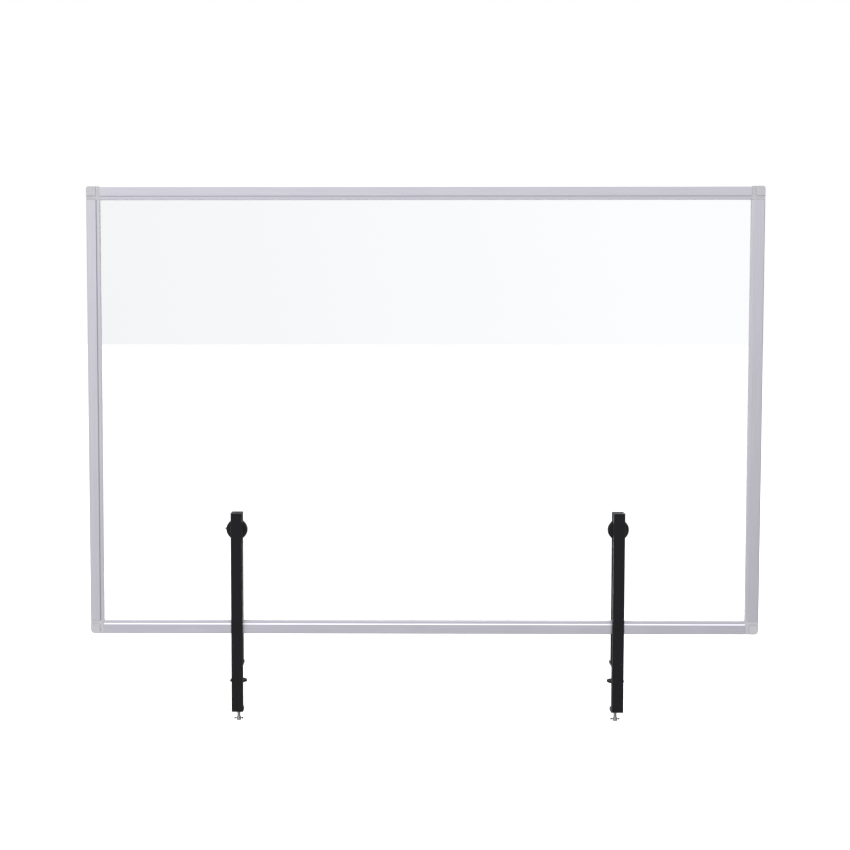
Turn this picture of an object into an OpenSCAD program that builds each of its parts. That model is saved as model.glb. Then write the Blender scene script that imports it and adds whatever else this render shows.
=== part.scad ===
// Desk privacy panel: a clear pane in a slim aluminium frame, held on a desk edge by two steel clamps.
// X runs along the desk edge, +Y points over the desk, +Z is up.
// The origin is on the desk edge's top corner, midway along the panel and in its middle plane.

/* [Panel] */
// Width of the framed panel
panel_w = 1050; // [800:1:1400]
// Height of the framed panel
panel_h = 700; // [450:1:900]
// Thickness of the clear pane
glass_t = 4; // [3:0.5:5]
// How far the pane reaches into the frame
glass_bite = 8.5; // [6:0.5:9.5]
// Thickness of the rubber lip on each side of the pane
gasket_t = 0.5; // [0.4:0.1:0.8]
// Height of the panel's lower edge above the desk top
panel_lift = 53; // [20:1:70]

/* [Frame profile] */
// Width of a rail's face, from its outer edge to the pane
rail_face = 20.5; // [19:0.5:26]
// Depth of a rail, front to back
rail_depth = 9; // [8.5:0.5:12]
// Width of the flat outer part of a rail's face
rail_flat = 14; // [13:0.5:15]
// Width of the shadow groove beside the flat
groove_w = 1.4; // [1:0.1:2]
// Depth of the shadow groove
groove_depth = 1; // [0.6:0.1:1.2]
// How much lower the inner bead lies than the flat
bead_drop = 0.6; // [0.3:0.1:0.8]
// Radius of a rail's outer edges
rail_edge_r = 1.4; // [0.8:0.1:2]
// Radius of the bead's edges
bead_r = 0.7; // [0.4:0.1:0.8]
// Wall between a rail's outer edge and its key chamber
chamber_wall = 2.2; // [1.6:0.1:2.6]
// Width of the key chamber across the rail
chamber_w = 5; // [4:0.1:5.5]
// Depth of the key chamber, front to back
chamber_depth = 5.8; // [5:0.1:6]

/* [Frame corners] */
// How far a moulded corner cap reaches past the width of a rail
cap_over = 0.5; // [0:0.5:3]
// How far a corner cap stands proud of the rails, front and back
cap_proud = 0.5; // [0.3:0.1:0.8]
// Radius of the two upper outer corners
cap_top_r = 4; // [2:0.5:6]
// Radius of the two lower outer corners
cap_bottom_r = 6.5; // [2:0.5:8]
// Length of a corner key's legs
key_leg = 48; // [40:1:70]
// Distance of a key's grub screws from the panel's corner
grub_inset = 36; // [30:1:60]
// Radius of a grub screw
grub_r = 1.5; // [1.2:0.1:2]
// Length of a grub screw
grub_l = 3.6; // [3:0.1:4.2]

/* [Clamp places] */
// Middle of the left clamp, from the panel's middle
left_clamp_x = -294; // [-380:0.5:-60]
// Middle of the right clamp, from the panel's middle
right_clamp_x = 304.5; // [60:0.5:380]

/* [Clamp uprights] */
// Width of the uprights, the spine, the jaw and the arm
bar_w = 18; // [15:0.5:22]
// Depth of an upright tube
tube_depth = 8.5; // [8:0.5:12]
// Wall of an upright tube
tube_wall = 1.5; // [1.2:0.1:2]
// Outer edge radius of an upright tube
tube_r = 1.5; // [1:0.1:2]
// Height of the uprights' tops above the desk top
upright_top = 245; // [235:1:300]
// Depth of the front upright's lower end below the desk top
upright_drop = 70; // [68:1:90]
// Thickness of an end cap's flange
end_cap_t = 1.5; // [1:0.1:2.5]
// Length of an end cap's plug
end_cap_plug = 8; // [5:0.5:12]
// Thickness of the felt strips that guard the rails
felt_t = 0.6; // [0.4:0.1:1.2]
// Width of the felt strips
felt_w = 13; // [10:0.5:14]
// Length of the felt strips
felt_l = 140; // [80:1:150]
// Gap between the upper jaw and the felt strips
felt_gap = 6; // [2:0.5:12]

/* [Clamp jaws] */
// Thickness of the rubber under the upper jaw
jaw_pad_t = 1.5; // [1:0.1:3]
// Thickness of the upper jaw
jaw_t = 3; // [2.5:0.1:6]
// How far the upper jaw reaches past the swivel pad
jaw_over = 2; // [1:0.5:10]
// Radius of the jaw's two rear corners
jaw_corner_r = 3; // [1:0.5:6]
// Thickness of the lower arm
arm_t = 4; // [3.5:0.5:8]
// How far the lower arm's underside hangs below the front upright's lower end
arm_hang = 2; // [0:0.5:3]
// Gap between the desk edge and the swivel pad's rim
pad_edge_gap = 2.5; // [0.5:0.5:5]
// Radius of the five countersunk screws that join a clamp
fixing_r = 1.5; // [1.2:0.1:1.8]
// Length of those screws
fixing_l = 10; // [9:0.5:10.5]
// Radius of their heads
fixing_head_r = 2.6; // [2.2:0.1:2.7]

/* [Clamp screw and pad] */
// Radius of the clamp screw over its thread
screw_r = 2.9; // [2.4:0.1:3.4]
// Height of the swivel pad's face below the desk top, so the thickness of desk that is gripped
grip_gap = 24; // [18:0.5:30]
// Radius of the swivel pad
pad_r = 14; // [12:0.5:16]
// Thickness of the swivel pad's steel plate
pad_t = 1.5; // [1:0.1:2.5]
// Thickness of the swivel pad's rubber face
pad_rubber_t = 1.5; // [1:0.1:3]
// Height of the swivel pad's socket
socket_h = 7.5; // [7.2:0.1:9]
// Radius of the ball at the clamp screw's tip
ball_r = 4; // [3.6:0.1:4.4]
// Distance of the tommy bar below the desk top
tommy_drop = 86.5; // [85:0.5:95]
// Radius of the clamp screw's head
screw_head_r = 3.6; // [3.2:0.1:4]
// Radius of the tommy bar
tommy_r = 1.1; // [0.9:0.1:1.4]
// Length of the tommy bar over its end caps
tommy_l = 14.6; // [14:0.2:24]
// Length of a tommy bar's end cap
tommy_cap_l = 2.2; // [1.8:0.1:3]

/* [Pane grip] */
// Height of the pane grip above the desk top
grip_z = 218; // [200:1:225]
// Radius of the fixed rubber disc in front of the pane
front_disc_r = 16; // [14:0.5:18]
// Radius of the pressing disc behind the pane
press_disc_r = 16.8; // [14:0.2:18]
// Thickness of the pressing disc's plate
press_plate_t = 1.2; // [1:0.1:1.4]
// Thickness of the pressing disc's rubber
press_rubber_t = 1; // [0.6:0.1:1.2]
// Radius of the grip screw
grip_screw_r = 3; // [2.5:0.1:3.5]
// Radius of the grip knob over its lobes
grip_knob_r = 13; // [11:0.5:14]
// Length of the grip knob
grip_knob_l = 10; // [8:0.5:14]

/* [Clearances] */
// Radial clearance of a screw or shaft in its bore
running_gap = 0.05; // [0.03:0.01:0.1]
// Gap between parts that move past each other
moving_gap = 0.3; // [0.3:0.05:0.4]
// Gap between the felt strips and the rails, so that the clamps slide
slide_gap = 0.4; // [0.3:0.1:0.8]
// Gap around a key, a plug or a block in its chamber
slip_gap = 0.1; // [0.05:0.05:0.2]

/* [Hidden] */
$fn = 64;
tiny = 0.01;
// How far a cutter runs past the face it cuts, and a shape into the one it joins
past = 1;

// Panel
panel_x = panel_w / 2;
panel_top = panel_lift + panel_h;
rail_half = rail_depth / 2;
cap_size = rail_face + cap_over;
cap_half = rail_half + cap_proud;
bead_half = rail_half - bead_drop;
groove_end = rail_flat + groove_w;
pane_edge = rail_face - glass_bite;
pane_half_w = panel_x - pane_edge;
seal_half = glass_t / 2 + gasket_t;
key_w = chamber_w - 2 * slip_gap;
key_half = chamber_depth / 2 - slip_gap;
chamber_mid = chamber_wall + chamber_w / 2;
cap_step = cap_size - (rail_face - rail_flat);

// Clamp uprights: the slot is centred on the pane, and the desk edge touches the spine at y = 0
slot_half = rail_half + slide_gap + felt_t;
front_y = -slot_half - tube_depth;
rear_y = slot_half + tube_depth;
bore_w = bar_w - 2 * tube_wall;
bore_depth = tube_depth - 2 * tube_wall;
bore_r = 0.4;
plug_w = bore_w - 2 * slip_gap;
plug_depth = bore_depth - 2 * slip_gap;
upright_bottom = -upright_drop;

// Clamp jaws
screw_y = pad_edge_gap + pad_r;
jaw_reach = screw_y + pad_r + jaw_over;
jaw_bottom = jaw_pad_t;
jaw_top = jaw_bottom + jaw_t;
arm_bottom = upright_bottom - arm_hang;
arm_top = arm_bottom + arm_t;
fixing_head_h = 1.7;
fixing_low_rise = 18;
fixing_low_z = arm_top + fixing_low_rise;
fixing_high_z = -12;
spine_mid = -slot_half / 2;
nut_strip_t = 4;
nut_strip_w = plug_w - 2 * bore_r;
nut_strip_over = 8;
foot_h = 12;
edge_inset = 0.5;
jaw_pad_start = 4;

// Clamp bush: a flanged threaded bush pushed up through the arm
bush_wall = 3.1;
bush_r = screw_r + bush_wall;
bush_flange_r = bar_w / 2 - edge_inset;
bush_flange_h = 2;
bush_neck_h = 1;
bush_bottom = arm_bottom - bush_flange_h - bush_neck_h;

// Swivel pad, from its rubber face down
pad_top = -grip_gap;
plate_top = pad_top - pad_rubber_t;
plate_bottom = plate_top - pad_t;
socket_bottom = plate_bottom - socket_h;
socket_flare = 2.4;
socket_wall = 2;
socket_low_r = ball_r + socket_wall;
socket_top_r = socket_low_r + socket_flare;
ball_z = plate_bottom - ball_r;
neck_relief = 0.4;
neck_r = screw_r - neck_relief;
neck_gap = 1.5;
neck_bottom = socket_bottom - neck_gap;
head_half = 3.5;
head_top = head_half - tommy_drop;
head_bottom = -head_half - tommy_drop;
tommy_cap_wall = 0.6;
tommy_cap_r = tommy_r + tommy_cap_wall;
tommy_cap_end = 0.5;
tommy_bar_half = tommy_l / 2 - tommy_cap_end;

// Pane grip, from the pane's rear face backwards
rubber_y = glass_t / 2 + moving_gap;
plate_y = rubber_y + press_rubber_t;
plate_back = plate_y + press_plate_t;
grip_tip_r = 2;
grip_tip_depth = 0.8;
press_plate_inset = 0.3;
grip_bush_wall = 2;
grip_bush_r = grip_screw_r + grip_bush_wall;
grip_flange_over = 2;
grip_flange_r = grip_bush_r + grip_flange_over;
grip_flange_t = 1;
knob_gap = 1;
knob_y = rear_y + grip_flange_t + knob_gap;
knob_face_t = 2;
knob_bore_end = knob_y + grip_knob_l - knob_face_t;
knob_lobes = 6;
knob_lobe_r = 3.5;
knob_core_r = grip_knob_r - knob_lobe_r;
tab_w = 3.4;
tab_out = 1.6;
left_tab_turn = 176;
right_tab_turn = 90;

alu = "gainsboro";
plastic = "lightgrey";
black = [0.13, 0.13, 0.14];
soft_black = [0.07, 0.07, 0.07];
steel = "silver";
clear = [0.9, 0.95, 0.97, 0.35];

// ---------- shared shapes ----------

// A box given by its lowest and highest corners
module span(low, high) {
    translate(low) cube(high - low);
}

// A rectangle with four rounded corners, centred on the origin
module round_rect(w, h, r) {
    square([w - 2 * r, h], center = true);
    square([w, h - 2 * r], center = true);
    for (x = [-1, 1], y = [-1, 1])
        translate([x * (w / 2 - r), y * (h / 2 - r)]) circle(r = r);
}

// A cylinder along Y from y0 to y1
module y_rod(r, y0, y1) {
    translate([0, y0, 0]) rotate([-90, 0, 0]) cylinder(r = r, h = y1 - y0);
}

// A cylinder along X from x0 to x1
module x_rod(r, x0, x1) {
    translate([x0, 0, 0]) rotate([0, 90, 0]) cylinder(r = r, h = x1 - x0);
}

// A countersunk screw that points along +Z, its head's face at z = 0; gap widens it into a hole
module fixing(gap = 0) {
    cylinder(r1 = fixing_head_r + gap, r2 = fixing_r + gap, h = fixing_head_h);
    cylinder(r = fixing_r + gap, h = fixing_l + gap);
}

// ---------- framed panel ----------

// A rail's cross-section: x is its depth and y runs from its outer edge to the pane
module rail_section() {
    difference() {
        union() {
            translate([-rail_half, rail_edge_r]) square([rail_depth, rail_flat - rail_edge_r]);
            translate([rail_edge_r - rail_half, 0]) square([rail_depth - 2 * rail_edge_r, rail_flat]);
            for (s = [-1, 1])
                translate([s * (rail_half - rail_edge_r), rail_edge_r]) circle(r = rail_edge_r);
            translate([groove_depth - rail_half, rail_flat - past])
                square([rail_depth - 2 * groove_depth, rail_face - rail_flat + past - bead_r]);
            translate([0, (groove_end + rail_face) / 2])
                round_rect(2 * bead_half, rail_face - groove_end, bead_r);
        }
        translate([-seal_half, pane_edge - gasket_t - slip_gap])
            square([2 * seal_half, glass_bite + gasket_t + past]);
        translate([-chamber_depth / 2, chamber_wall]) square([chamber_depth, chamber_w]);
    }
}

// A rail along X with its outer edge at z = 0, and its grub screw holes in the back
module level_rail() {
    half = panel_x - cap_size;
    difference() {
        rotate([90, 0, 90]) linear_extrude(2 * half, center = true) rail_section();
        for (s = [-1, 1])
            translate([s * (panel_x - grub_inset), 0, chamber_mid])
                y_rod(grub_r + running_gap, 0, rail_depth);
    }
}

// A rail along Z with its outer edge at x = 0 and its middle at z = 0
module upright_rail() {
    half = panel_h / 2 - cap_size;
    difference() {
        linear_extrude(2 * half, center = true) mirror([1, -1, 0]) rail_section();
        for (s = [-1, 1])
            translate([chamber_mid, 0, s * (panel_h / 2 - grub_inset)])
                y_rod(grub_r + running_gap, 0, rail_depth);
    }
}

// A square with its corner at the origin rounded, pulled out front and back
module cap_block(side, r, half) {
    rotate([90, 0, 0]) linear_extrude(2 * half, center = true) {
        translate([r, 0]) square([side - r, side]);
        translate([0, r]) square([side, side - r]);
        translate([r, r]) circle(r = r);
    }
}

// The two legs of a corner key, from the corner at the origin; gap widens them into a chamber
module key_legs(gap, leg) {
    low = chamber_wall + slip_gap - gap;
    high = low + key_w + 2 * gap;
    half = key_half + gap;
    span([low, -half, low], [leg, half, high]);
    span([low, -half, low], [high, half, leg]);
}

// A moulded cap for the corner at the origin, with the rails leaving along +X and +Z
module corner_cap(r) {
    pane_low = pane_edge - gasket_t - slip_gap;
    color(plastic) difference() {
        union() {
            cap_block(cap_size, r, bead_half);
            cap_block(cap_step, r, cap_half);
        }
        key_legs(slip_gap, cap_size + past);
        span([pane_low, -seal_half, pane_low], [cap_size + past, seal_half, cap_size + past]);
    }
}

// A corner key with its two threaded holes
module corner_key() {
    difference() {
        key_legs(0, key_leg);
        translate([grub_inset, 0, chamber_mid]) y_rod(grub_r + running_gap, 0, rail_depth);
        translate([chamber_mid, 0, grub_inset]) y_rod(grub_r + running_gap, 0, rail_depth);
    }
}

// Copies its children to the panel's four corners, mirrored to face inwards
module at_corners() {
    for (x = [0, 1], z = [0, 1])
        translate([(2 * x - 1) * panel_x, 0, panel_lift + z * panel_h])
            mirror([x, 0, 0]) mirror([0, 0, z]) children();
}

module frame_bottom() { color(alu) translate([0, 0, panel_lift]) level_rail(); }
module frame_top() { color(alu) translate([0, 0, panel_top]) mirror([0, 0, 1]) level_rail(); }
module frame_left() { color(alu) translate([-panel_x, 0, panel_lift + panel_h / 2]) upright_rail(); }
module frame_right() { mirror([1, 0, 0]) frame_left(); }

module cap_bottom_left() { translate([-panel_x, 0, panel_lift]) corner_cap(cap_bottom_r); }
module cap_bottom_right() { mirror([1, 0, 0]) cap_bottom_left(); }
module cap_top_left() { translate([-panel_x, 0, panel_top]) mirror([0, 0, 1]) corner_cap(cap_top_r); }
module cap_top_right() { mirror([1, 0, 0]) cap_top_left(); }
module corner_keys() { color(steel) at_corners() corner_key(); }

// Grub screws that lie flush with the back of the rails
module grub_screws() {
    color(steel) at_corners() {
        translate([grub_inset, 0, chamber_mid]) y_rod(grub_r, rail_half - grub_l, rail_half);
        translate([chamber_mid, 0, grub_inset]) y_rod(grub_r, rail_half - grub_l, rail_half);
    }
}

module glass_pane() {
    color(clear) span([-pane_half_w, -glass_t / 2, panel_lift + pane_edge],
                      [pane_half_w, glass_t / 2, panel_top - pane_edge]);
}

// A channel of rubber round the pane's edge
module glazing_gasket() {
    color(soft_black) difference() {
        span([-pane_half_w - gasket_t, -seal_half, panel_lift + pane_edge - gasket_t],
             [pane_half_w + gasket_t, seal_half, panel_top - pane_edge + gasket_t]);
        span([-pane_half_w, -glass_t / 2, panel_lift + pane_edge],
             [pane_half_w, glass_t / 2, panel_top - pane_edge]);
        span([rail_face - panel_x, -rail_depth, panel_lift + rail_face],
             [panel_x - rail_face, rail_depth, panel_top - rail_face]);
    }
}

// ---------- clamp: uprights ----------

// A length of upright tube from z0 to z1 with its front face at y = front
module tube(front, z0, z1) {
    translate([0, front + tube_depth / 2, z0]) linear_extrude(z1 - z0) difference() {
        round_rect(bar_w, tube_depth, tube_r);
        round_rect(bore_w, bore_depth, bore_r);
    }
}

// The five screws that join a clamp; gap widens them into holes
module fixings(gap = 0) {
    // Two through the spine into the front upright's nut strip
    for (z = [fixing_low_z, fixing_high_z])
        translate([0, 0, z]) rotate([90, 0, 0]) fixing(gap);
    // The jaw down into the spine, and the arm up into the spine
    translate([0, spine_mid, jaw_top]) rotate([180, 0, 0]) fixing(gap);
    translate([0, spine_mid, arm_bottom]) fixing(gap);
    // The jaw up into the rear upright's foot
    translate([0, rear_y - tube_depth / 2, jaw_bottom]) fixing(gap);
}

module front_upright() {
    color(black) difference() {
        tube(front_y, upright_bottom + end_cap_t, upright_top - end_cap_t);
        fixings(running_gap);
    }
}

module rear_upright() {
    color(black) difference() {
        tube(slot_half, jaw_top, upright_top - end_cap_t);
        translate([0, 0, grip_z]) y_rod(grip_bush_r + running_gap, 0, rear_y + past);
    }
}

// An end cap for a tube's upper end, its flange's underside at z = 0
module end_cap() {
    linear_extrude(end_cap_t) round_rect(bar_w, tube_depth, tube_r);
    translate([0, 0, -end_cap_plug]) linear_extrude(end_cap_plug + tiny)
        round_rect(plug_w, plug_depth, bore_r);
}

module end_caps() {
    front_mid = front_y + tube_depth / 2;
    color(soft_black) {
        translate([0, front_mid, upright_top - end_cap_t]) end_cap();
        translate([0, -front_mid, upright_top - end_cap_t]) end_cap();
        translate([0, front_mid, upright_bottom + end_cap_t]) rotate([180, 0, 0]) end_cap();
    }
}

// Felt on the uprights' facing sides, where the lower rail slides past
module felt_strips() {
    low = jaw_top + felt_gap;
    color(soft_black) for (s = [0, 1]) mirror([0, s, 0])
        span([-felt_w / 2, -slot_half, low], [felt_w / 2, felt_t - slot_half, low + felt_l]);
}

module fixing_screws() { color(steel) fixings(); }

// A threaded strip inside the front upright, behind the spine's two screws
module nut_strip() {
    color(steel) difference() {
        span([-nut_strip_w / 2, -slot_half - tube_wall - nut_strip_t, fixing_low_z - nut_strip_over],
             [nut_strip_w / 2, -slot_half - tube_wall, fixing_high_z + nut_strip_over]);
        fixings(running_gap);
    }
}

// A threaded block in the rear upright's lower end
module upright_foot() {
    color(steel) difference() {
        translate([0, rear_y - tube_depth / 2, jaw_top])
            linear_extrude(foot_h) round_rect(plug_w, plug_depth, bore_r);
        fixings(running_gap);
    }
}

// ---------- clamp: spine, jaw and arm ----------

module spine() {
    color(black) difference() {
        span([-bar_w / 2, -slot_half, arm_top], [bar_w / 2, 0, jaw_bottom]);
        fixings(running_gap);
    }
}

module upper_jaw() {
    color(black) difference() {
        union() {
            span([-bar_w / 2, -slot_half, jaw_bottom], [bar_w / 2, jaw_reach - jaw_corner_r, jaw_top]);
            span([jaw_corner_r - bar_w / 2, 0, jaw_bottom], [bar_w / 2 - jaw_corner_r, jaw_reach, jaw_top]);
            for (s = [-1, 1])
                translate([s * (bar_w / 2 - jaw_corner_r), jaw_reach - jaw_corner_r, jaw_bottom])
                    cylinder(r = jaw_corner_r, h = jaw_t);
        }
        fixings(running_gap);
    }
}

module jaw_pad() {
    side = bar_w / 2 - edge_inset;
    color(soft_black) span([-side, jaw_pad_start, 0], [side, jaw_reach - jaw_corner_r, jaw_pad_t]);
}

module lower_arm() {
    color(black) difference() {
        union() {
            span([-bar_w / 2, -slot_half, arm_bottom], [bar_w / 2, screw_y, arm_top]);
            translate([0, screw_y, arm_bottom]) cylinder(r = bar_w / 2, h = arm_t);
        }
        translate([0, screw_y, arm_bottom - past]) cylinder(r = bush_r + running_gap, h = arm_t + 2 * past);
        fixings(running_gap);
    }
}

module clamp_bush() {
    color(steel) translate([0, screw_y, 0]) difference() {
        union() {
            translate([0, 0, arm_bottom]) cylinder(r = bush_r, h = arm_t);
            translate([0, 0, arm_bottom - bush_flange_h]) cylinder(r = bush_flange_r, h = bush_flange_h);
            translate([0, 0, bush_bottom]) cylinder(r = bush_r, h = bush_neck_h + tiny);
        }
        translate([0, 0, bush_bottom - past])
            cylinder(r = screw_r + running_gap, h = arm_top - bush_bottom + 2 * past);
    }
}

// ---------- clamp: screw, tommy bar and swivel pad ----------

module clamp_screw() {
    color(steel) translate([0, screw_y, 0]) difference() {
        union() {
            translate([0, 0, ball_z]) sphere(r = ball_r);
            translate([0, 0, neck_bottom]) cylinder(r = neck_r, h = ball_z - neck_bottom);
            translate([0, 0, head_top]) cylinder(r = screw_r, h = neck_bottom - head_top);
            translate([0, 0, head_bottom]) cylinder(r = screw_head_r, h = head_top - head_bottom);
        }
        translate([0, 0, -tommy_drop]) x_rod(tommy_r + running_gap, -bar_w, bar_w);
    }
}

module swivel_pad() {
    color(black) translate([0, screw_y, 0]) difference() {
        union() {
            translate([0, 0, plate_bottom]) cylinder(r = pad_r, h = pad_t);
            translate([0, 0, socket_bottom]) cylinder(r1 = socket_low_r, r2 = socket_top_r, h = socket_h);
        }
        translate([0, 0, ball_z]) sphere(r = ball_r + running_gap);
        translate([0, 0, socket_bottom - past])
            cylinder(r = screw_r + moving_gap, h = ball_z - socket_bottom + past);
    }
}

module pad_rubber() {
    color(soft_black) translate([0, screw_y, plate_top]) cylinder(r = pad_r - edge_inset, h = pad_rubber_t);
}

module tommy_bar() {
    color(steel) translate([0, screw_y, -tommy_drop]) x_rod(tommy_r, -tommy_bar_half, tommy_bar_half);
}

module tommy_caps() {
    inner = tommy_l / 2 - tommy_cap_l;
    color(soft_black) translate([0, screw_y, -tommy_drop]) for (s = [0, 1]) mirror([s, 0, 0]) difference() {
        x_rod(tommy_cap_r, inner, tommy_l / 2);
        x_rod(tommy_r, inner - past, tommy_bar_half);
    }
}

// ---------- clamp: pane grip ----------

module front_disc() {
    color(soft_black) translate([0, 0, grip_z]) y_rod(front_disc_r, -slot_half, -glass_t / 2 - moving_gap);
}

module press_rubber(turn) {
    color(soft_black) translate([0, 0, grip_z]) {
        y_rod(press_disc_r, rubber_y, plate_y);
        // A small pull tab on the rim
        rotate([0, -turn, 0]) span([0, rubber_y, -tab_w / 2], [press_disc_r + tab_out, plate_y, tab_w / 2]);
    }
}

module press_plate() {
    color(black) translate([0, 0, grip_z]) difference() {
        y_rod(press_disc_r - press_plate_inset, plate_y, plate_back);
        y_rod(grip_tip_r + running_gap, plate_back - grip_tip_depth - running_gap, plate_back + past);
    }
}

module grip_bush() {
    color(steel) translate([0, 0, grip_z]) difference() {
        union() {
            y_rod(grip_bush_r, slot_half, rear_y);
            y_rod(grip_flange_r, rear_y, rear_y + grip_flange_t);
        }
        y_rod(grip_screw_r + running_gap, 0, rear_y + grip_flange_t + past);
    }
}

module grip_screw() {
    color(steel) translate([0, 0, grip_z]) {
        y_rod(grip_tip_r, plate_back - grip_tip_depth, plate_back + moving_gap);
        y_rod(grip_screw_r, plate_back + moving_gap, knob_bore_end);
    }
}

module grip_knob() {
    color(soft_black) translate([0, 0, grip_z]) difference() {
        union() {
            y_rod(knob_core_r, knob_y, knob_y + grip_knob_l);
            for (i = [0 : knob_lobes - 1]) rotate([0, i * 360 / knob_lobes, 0])
                translate([knob_core_r, 0, 0]) y_rod(knob_lobe_r, knob_y, knob_y + grip_knob_l);
        }
        y_rod(grip_screw_r, knob_y - past, knob_bore_end);
    }
}

// ---------- the two clamps ----------

module at_left() { translate([left_clamp_x, 0, 0]) children(); }
module at_right() { translate([right_clamp_x, 0, 0]) children(); }

glass_pane();
glazing_gasket();
frame_top();
frame_bottom();
frame_left();
frame_right();
cap_top_left();
cap_top_right();
cap_bottom_left();
cap_bottom_right();
corner_keys();
grub_screws();
at_left() front_upright();  // left_front_upright
at_left() rear_upright();  // left_rear_upright
at_left() spine();  // left_spine
at_left() upper_jaw();  // left_upper_jaw
at_left() lower_arm();  // left_lower_arm
at_left() jaw_pad();  // left_jaw_pad
at_left() felt_strips();  // left_felt_strips
at_left() end_caps();  // left_end_caps
at_left() fixing_screws();  // left_fixing_screws
at_left() nut_strip();  // left_nut_strip
at_left() upright_foot();  // left_upright_foot
at_left() clamp_bush();  // left_clamp_bush
at_left() clamp_screw();  // left_clamp_screw
at_left() swivel_pad();  // left_swivel_pad
at_left() pad_rubber();  // left_pad_rubber
at_left() tommy_bar();  // left_tommy_bar
at_left() tommy_caps();  // left_tommy_caps
at_left() front_disc();  // left_front_disc
at_left() press_plate();  // left_press_plate
at_left() press_rubber(left_tab_turn);  // left_press_rubber
at_left() grip_bush();  // left_grip_bush
at_left() grip_screw();  // left_grip_screw
at_left() grip_knob();  // left_grip_knob
at_right() front_upright();  // right_front_upright
at_right() rear_upright();  // right_rear_upright
at_right() spine();  // right_spine
at_right() upper_jaw();  // right_upper_jaw
at_right() lower_arm();  // right_lower_arm
at_right() jaw_pad();  // right_jaw_pad
at_right() felt_strips();  // right_felt_strips
at_right() end_caps();  // right_end_caps
at_right() fixing_screws();  // right_fixing_screws
at_right() nut_strip();  // right_nut_strip
at_right() upright_foot();  // right_upright_foot
at_right() clamp_bush();  // right_clamp_bush
at_right() clamp_screw();  // right_clamp_screw
at_right() swivel_pad();  // right_swivel_pad
at_right() pad_rubber();  // right_pad_rubber
at_right() tommy_bar();  // right_tommy_bar
at_right() tommy_caps();  // right_tommy_caps
at_right() front_disc();  // right_front_disc
at_right() press_plate();  // right_press_plate
at_right() press_rubber(right_tab_turn);  // right_press_rubber
at_right() grip_bush();  // right_grip_bush
at_right() grip_screw();  // right_grip_screw
at_right() grip_knob();  // right_grip_knob
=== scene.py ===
"""Desk privacy panel: a clear pane in a slim aluminium frame, held on a desk edge by two black screw clamps.

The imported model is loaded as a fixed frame. Each sub-assembly below is a class that builds its finished
pieces around that frame, dresses them and lets them ride on the frame's bodies. All sizes are metres.
"""

from __future__ import annotations

import logging
import math
from collections.abc import Callable, Sequence
from dataclasses import dataclass, field
from enum import Enum
from itertools import pairwise

import bpy
from mathutils import Matrix, Vector


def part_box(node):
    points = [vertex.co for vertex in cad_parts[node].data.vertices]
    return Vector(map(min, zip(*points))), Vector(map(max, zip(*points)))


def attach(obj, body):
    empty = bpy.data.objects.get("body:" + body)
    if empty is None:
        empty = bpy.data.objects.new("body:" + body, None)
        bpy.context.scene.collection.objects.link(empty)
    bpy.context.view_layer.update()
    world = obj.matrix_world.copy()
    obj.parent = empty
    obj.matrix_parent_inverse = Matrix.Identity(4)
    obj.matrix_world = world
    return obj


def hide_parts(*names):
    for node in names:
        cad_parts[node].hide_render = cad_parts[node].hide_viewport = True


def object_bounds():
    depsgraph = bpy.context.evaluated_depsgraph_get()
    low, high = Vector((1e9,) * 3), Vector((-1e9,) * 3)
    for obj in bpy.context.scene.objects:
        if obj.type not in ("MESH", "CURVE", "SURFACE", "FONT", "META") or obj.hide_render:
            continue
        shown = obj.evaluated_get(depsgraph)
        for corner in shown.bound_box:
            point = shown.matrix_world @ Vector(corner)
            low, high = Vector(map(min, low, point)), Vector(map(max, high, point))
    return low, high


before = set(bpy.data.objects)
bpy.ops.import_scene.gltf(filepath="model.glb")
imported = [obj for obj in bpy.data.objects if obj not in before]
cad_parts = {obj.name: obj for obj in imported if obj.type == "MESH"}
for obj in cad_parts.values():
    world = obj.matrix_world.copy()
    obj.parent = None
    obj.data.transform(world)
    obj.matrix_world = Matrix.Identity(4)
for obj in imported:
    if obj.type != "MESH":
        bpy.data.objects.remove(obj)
CAD_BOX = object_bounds()

MM = 0.001
SMOOTH_ANGLE = math.radians(35)
WELD = 0.001 * MM
RING = 72
QUARTER = math.pi / 2
LOG = logging.getLogger("desk_privacy_panel")

Point = tuple[float, float]
Corner = tuple[float, float, float]


class Side(Enum):
    """Which of the two clamps a piece belongs to; the value starts its nodes' and bodies' names."""

    LEFT = "left_"
    RIGHT = "right_"


class Lie(Enum):
    """The way a turned or drawn piece lies, as the turn that lays its own Z axis there."""

    UP = Matrix.Identity(4)
    DOWN = Matrix.Rotation(math.pi, 4, "X")
    BACK = Matrix.Rotation(-QUARTER, 4, "X")
    FORWARD = Matrix.Rotation(QUARTER, 4, "X")
    ALONG = Matrix.Rotation(QUARTER, 4, "Y")


# ---------------------------------------------------------------- bench work


def deselect_all() -> None:
    """Leaves edit mode and deselects every object."""
    if bpy.context.object and bpy.context.object.mode != "OBJECT":
        bpy.ops.object.mode_set(mode="OBJECT")
    bpy.ops.object.select_all(action="DESELECT")


def pick(*pieces: bpy.types.Object) -> None:
    """Selects these pieces alone and makes the first one active.

    Args:
        *pieces: The pieces.
    """
    deselect_all()
    for piece in pieces:
        piece.select_set(True)
    bpy.context.view_layer.objects.active = pieces[0]


def edit_all() -> None:
    """Enters edit mode with everything selected."""
    bpy.ops.object.mode_set(mode="EDIT")
    bpy.ops.mesh.select_all(action="SELECT")


def settle() -> None:
    """Moves the place, turn and size of what is selected into its mesh."""
    bpy.ops.object.transform_apply(location=True, rotation=True, scale=True)


def named(name: str) -> bpy.types.Object:
    """Names the object that was just added, and its mesh.

    Args:
        name: The name.

    Returns:
        The object.
    """
    piece = bpy.context.object
    piece.name = name
    piece.data.name = name
    return piece


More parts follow.
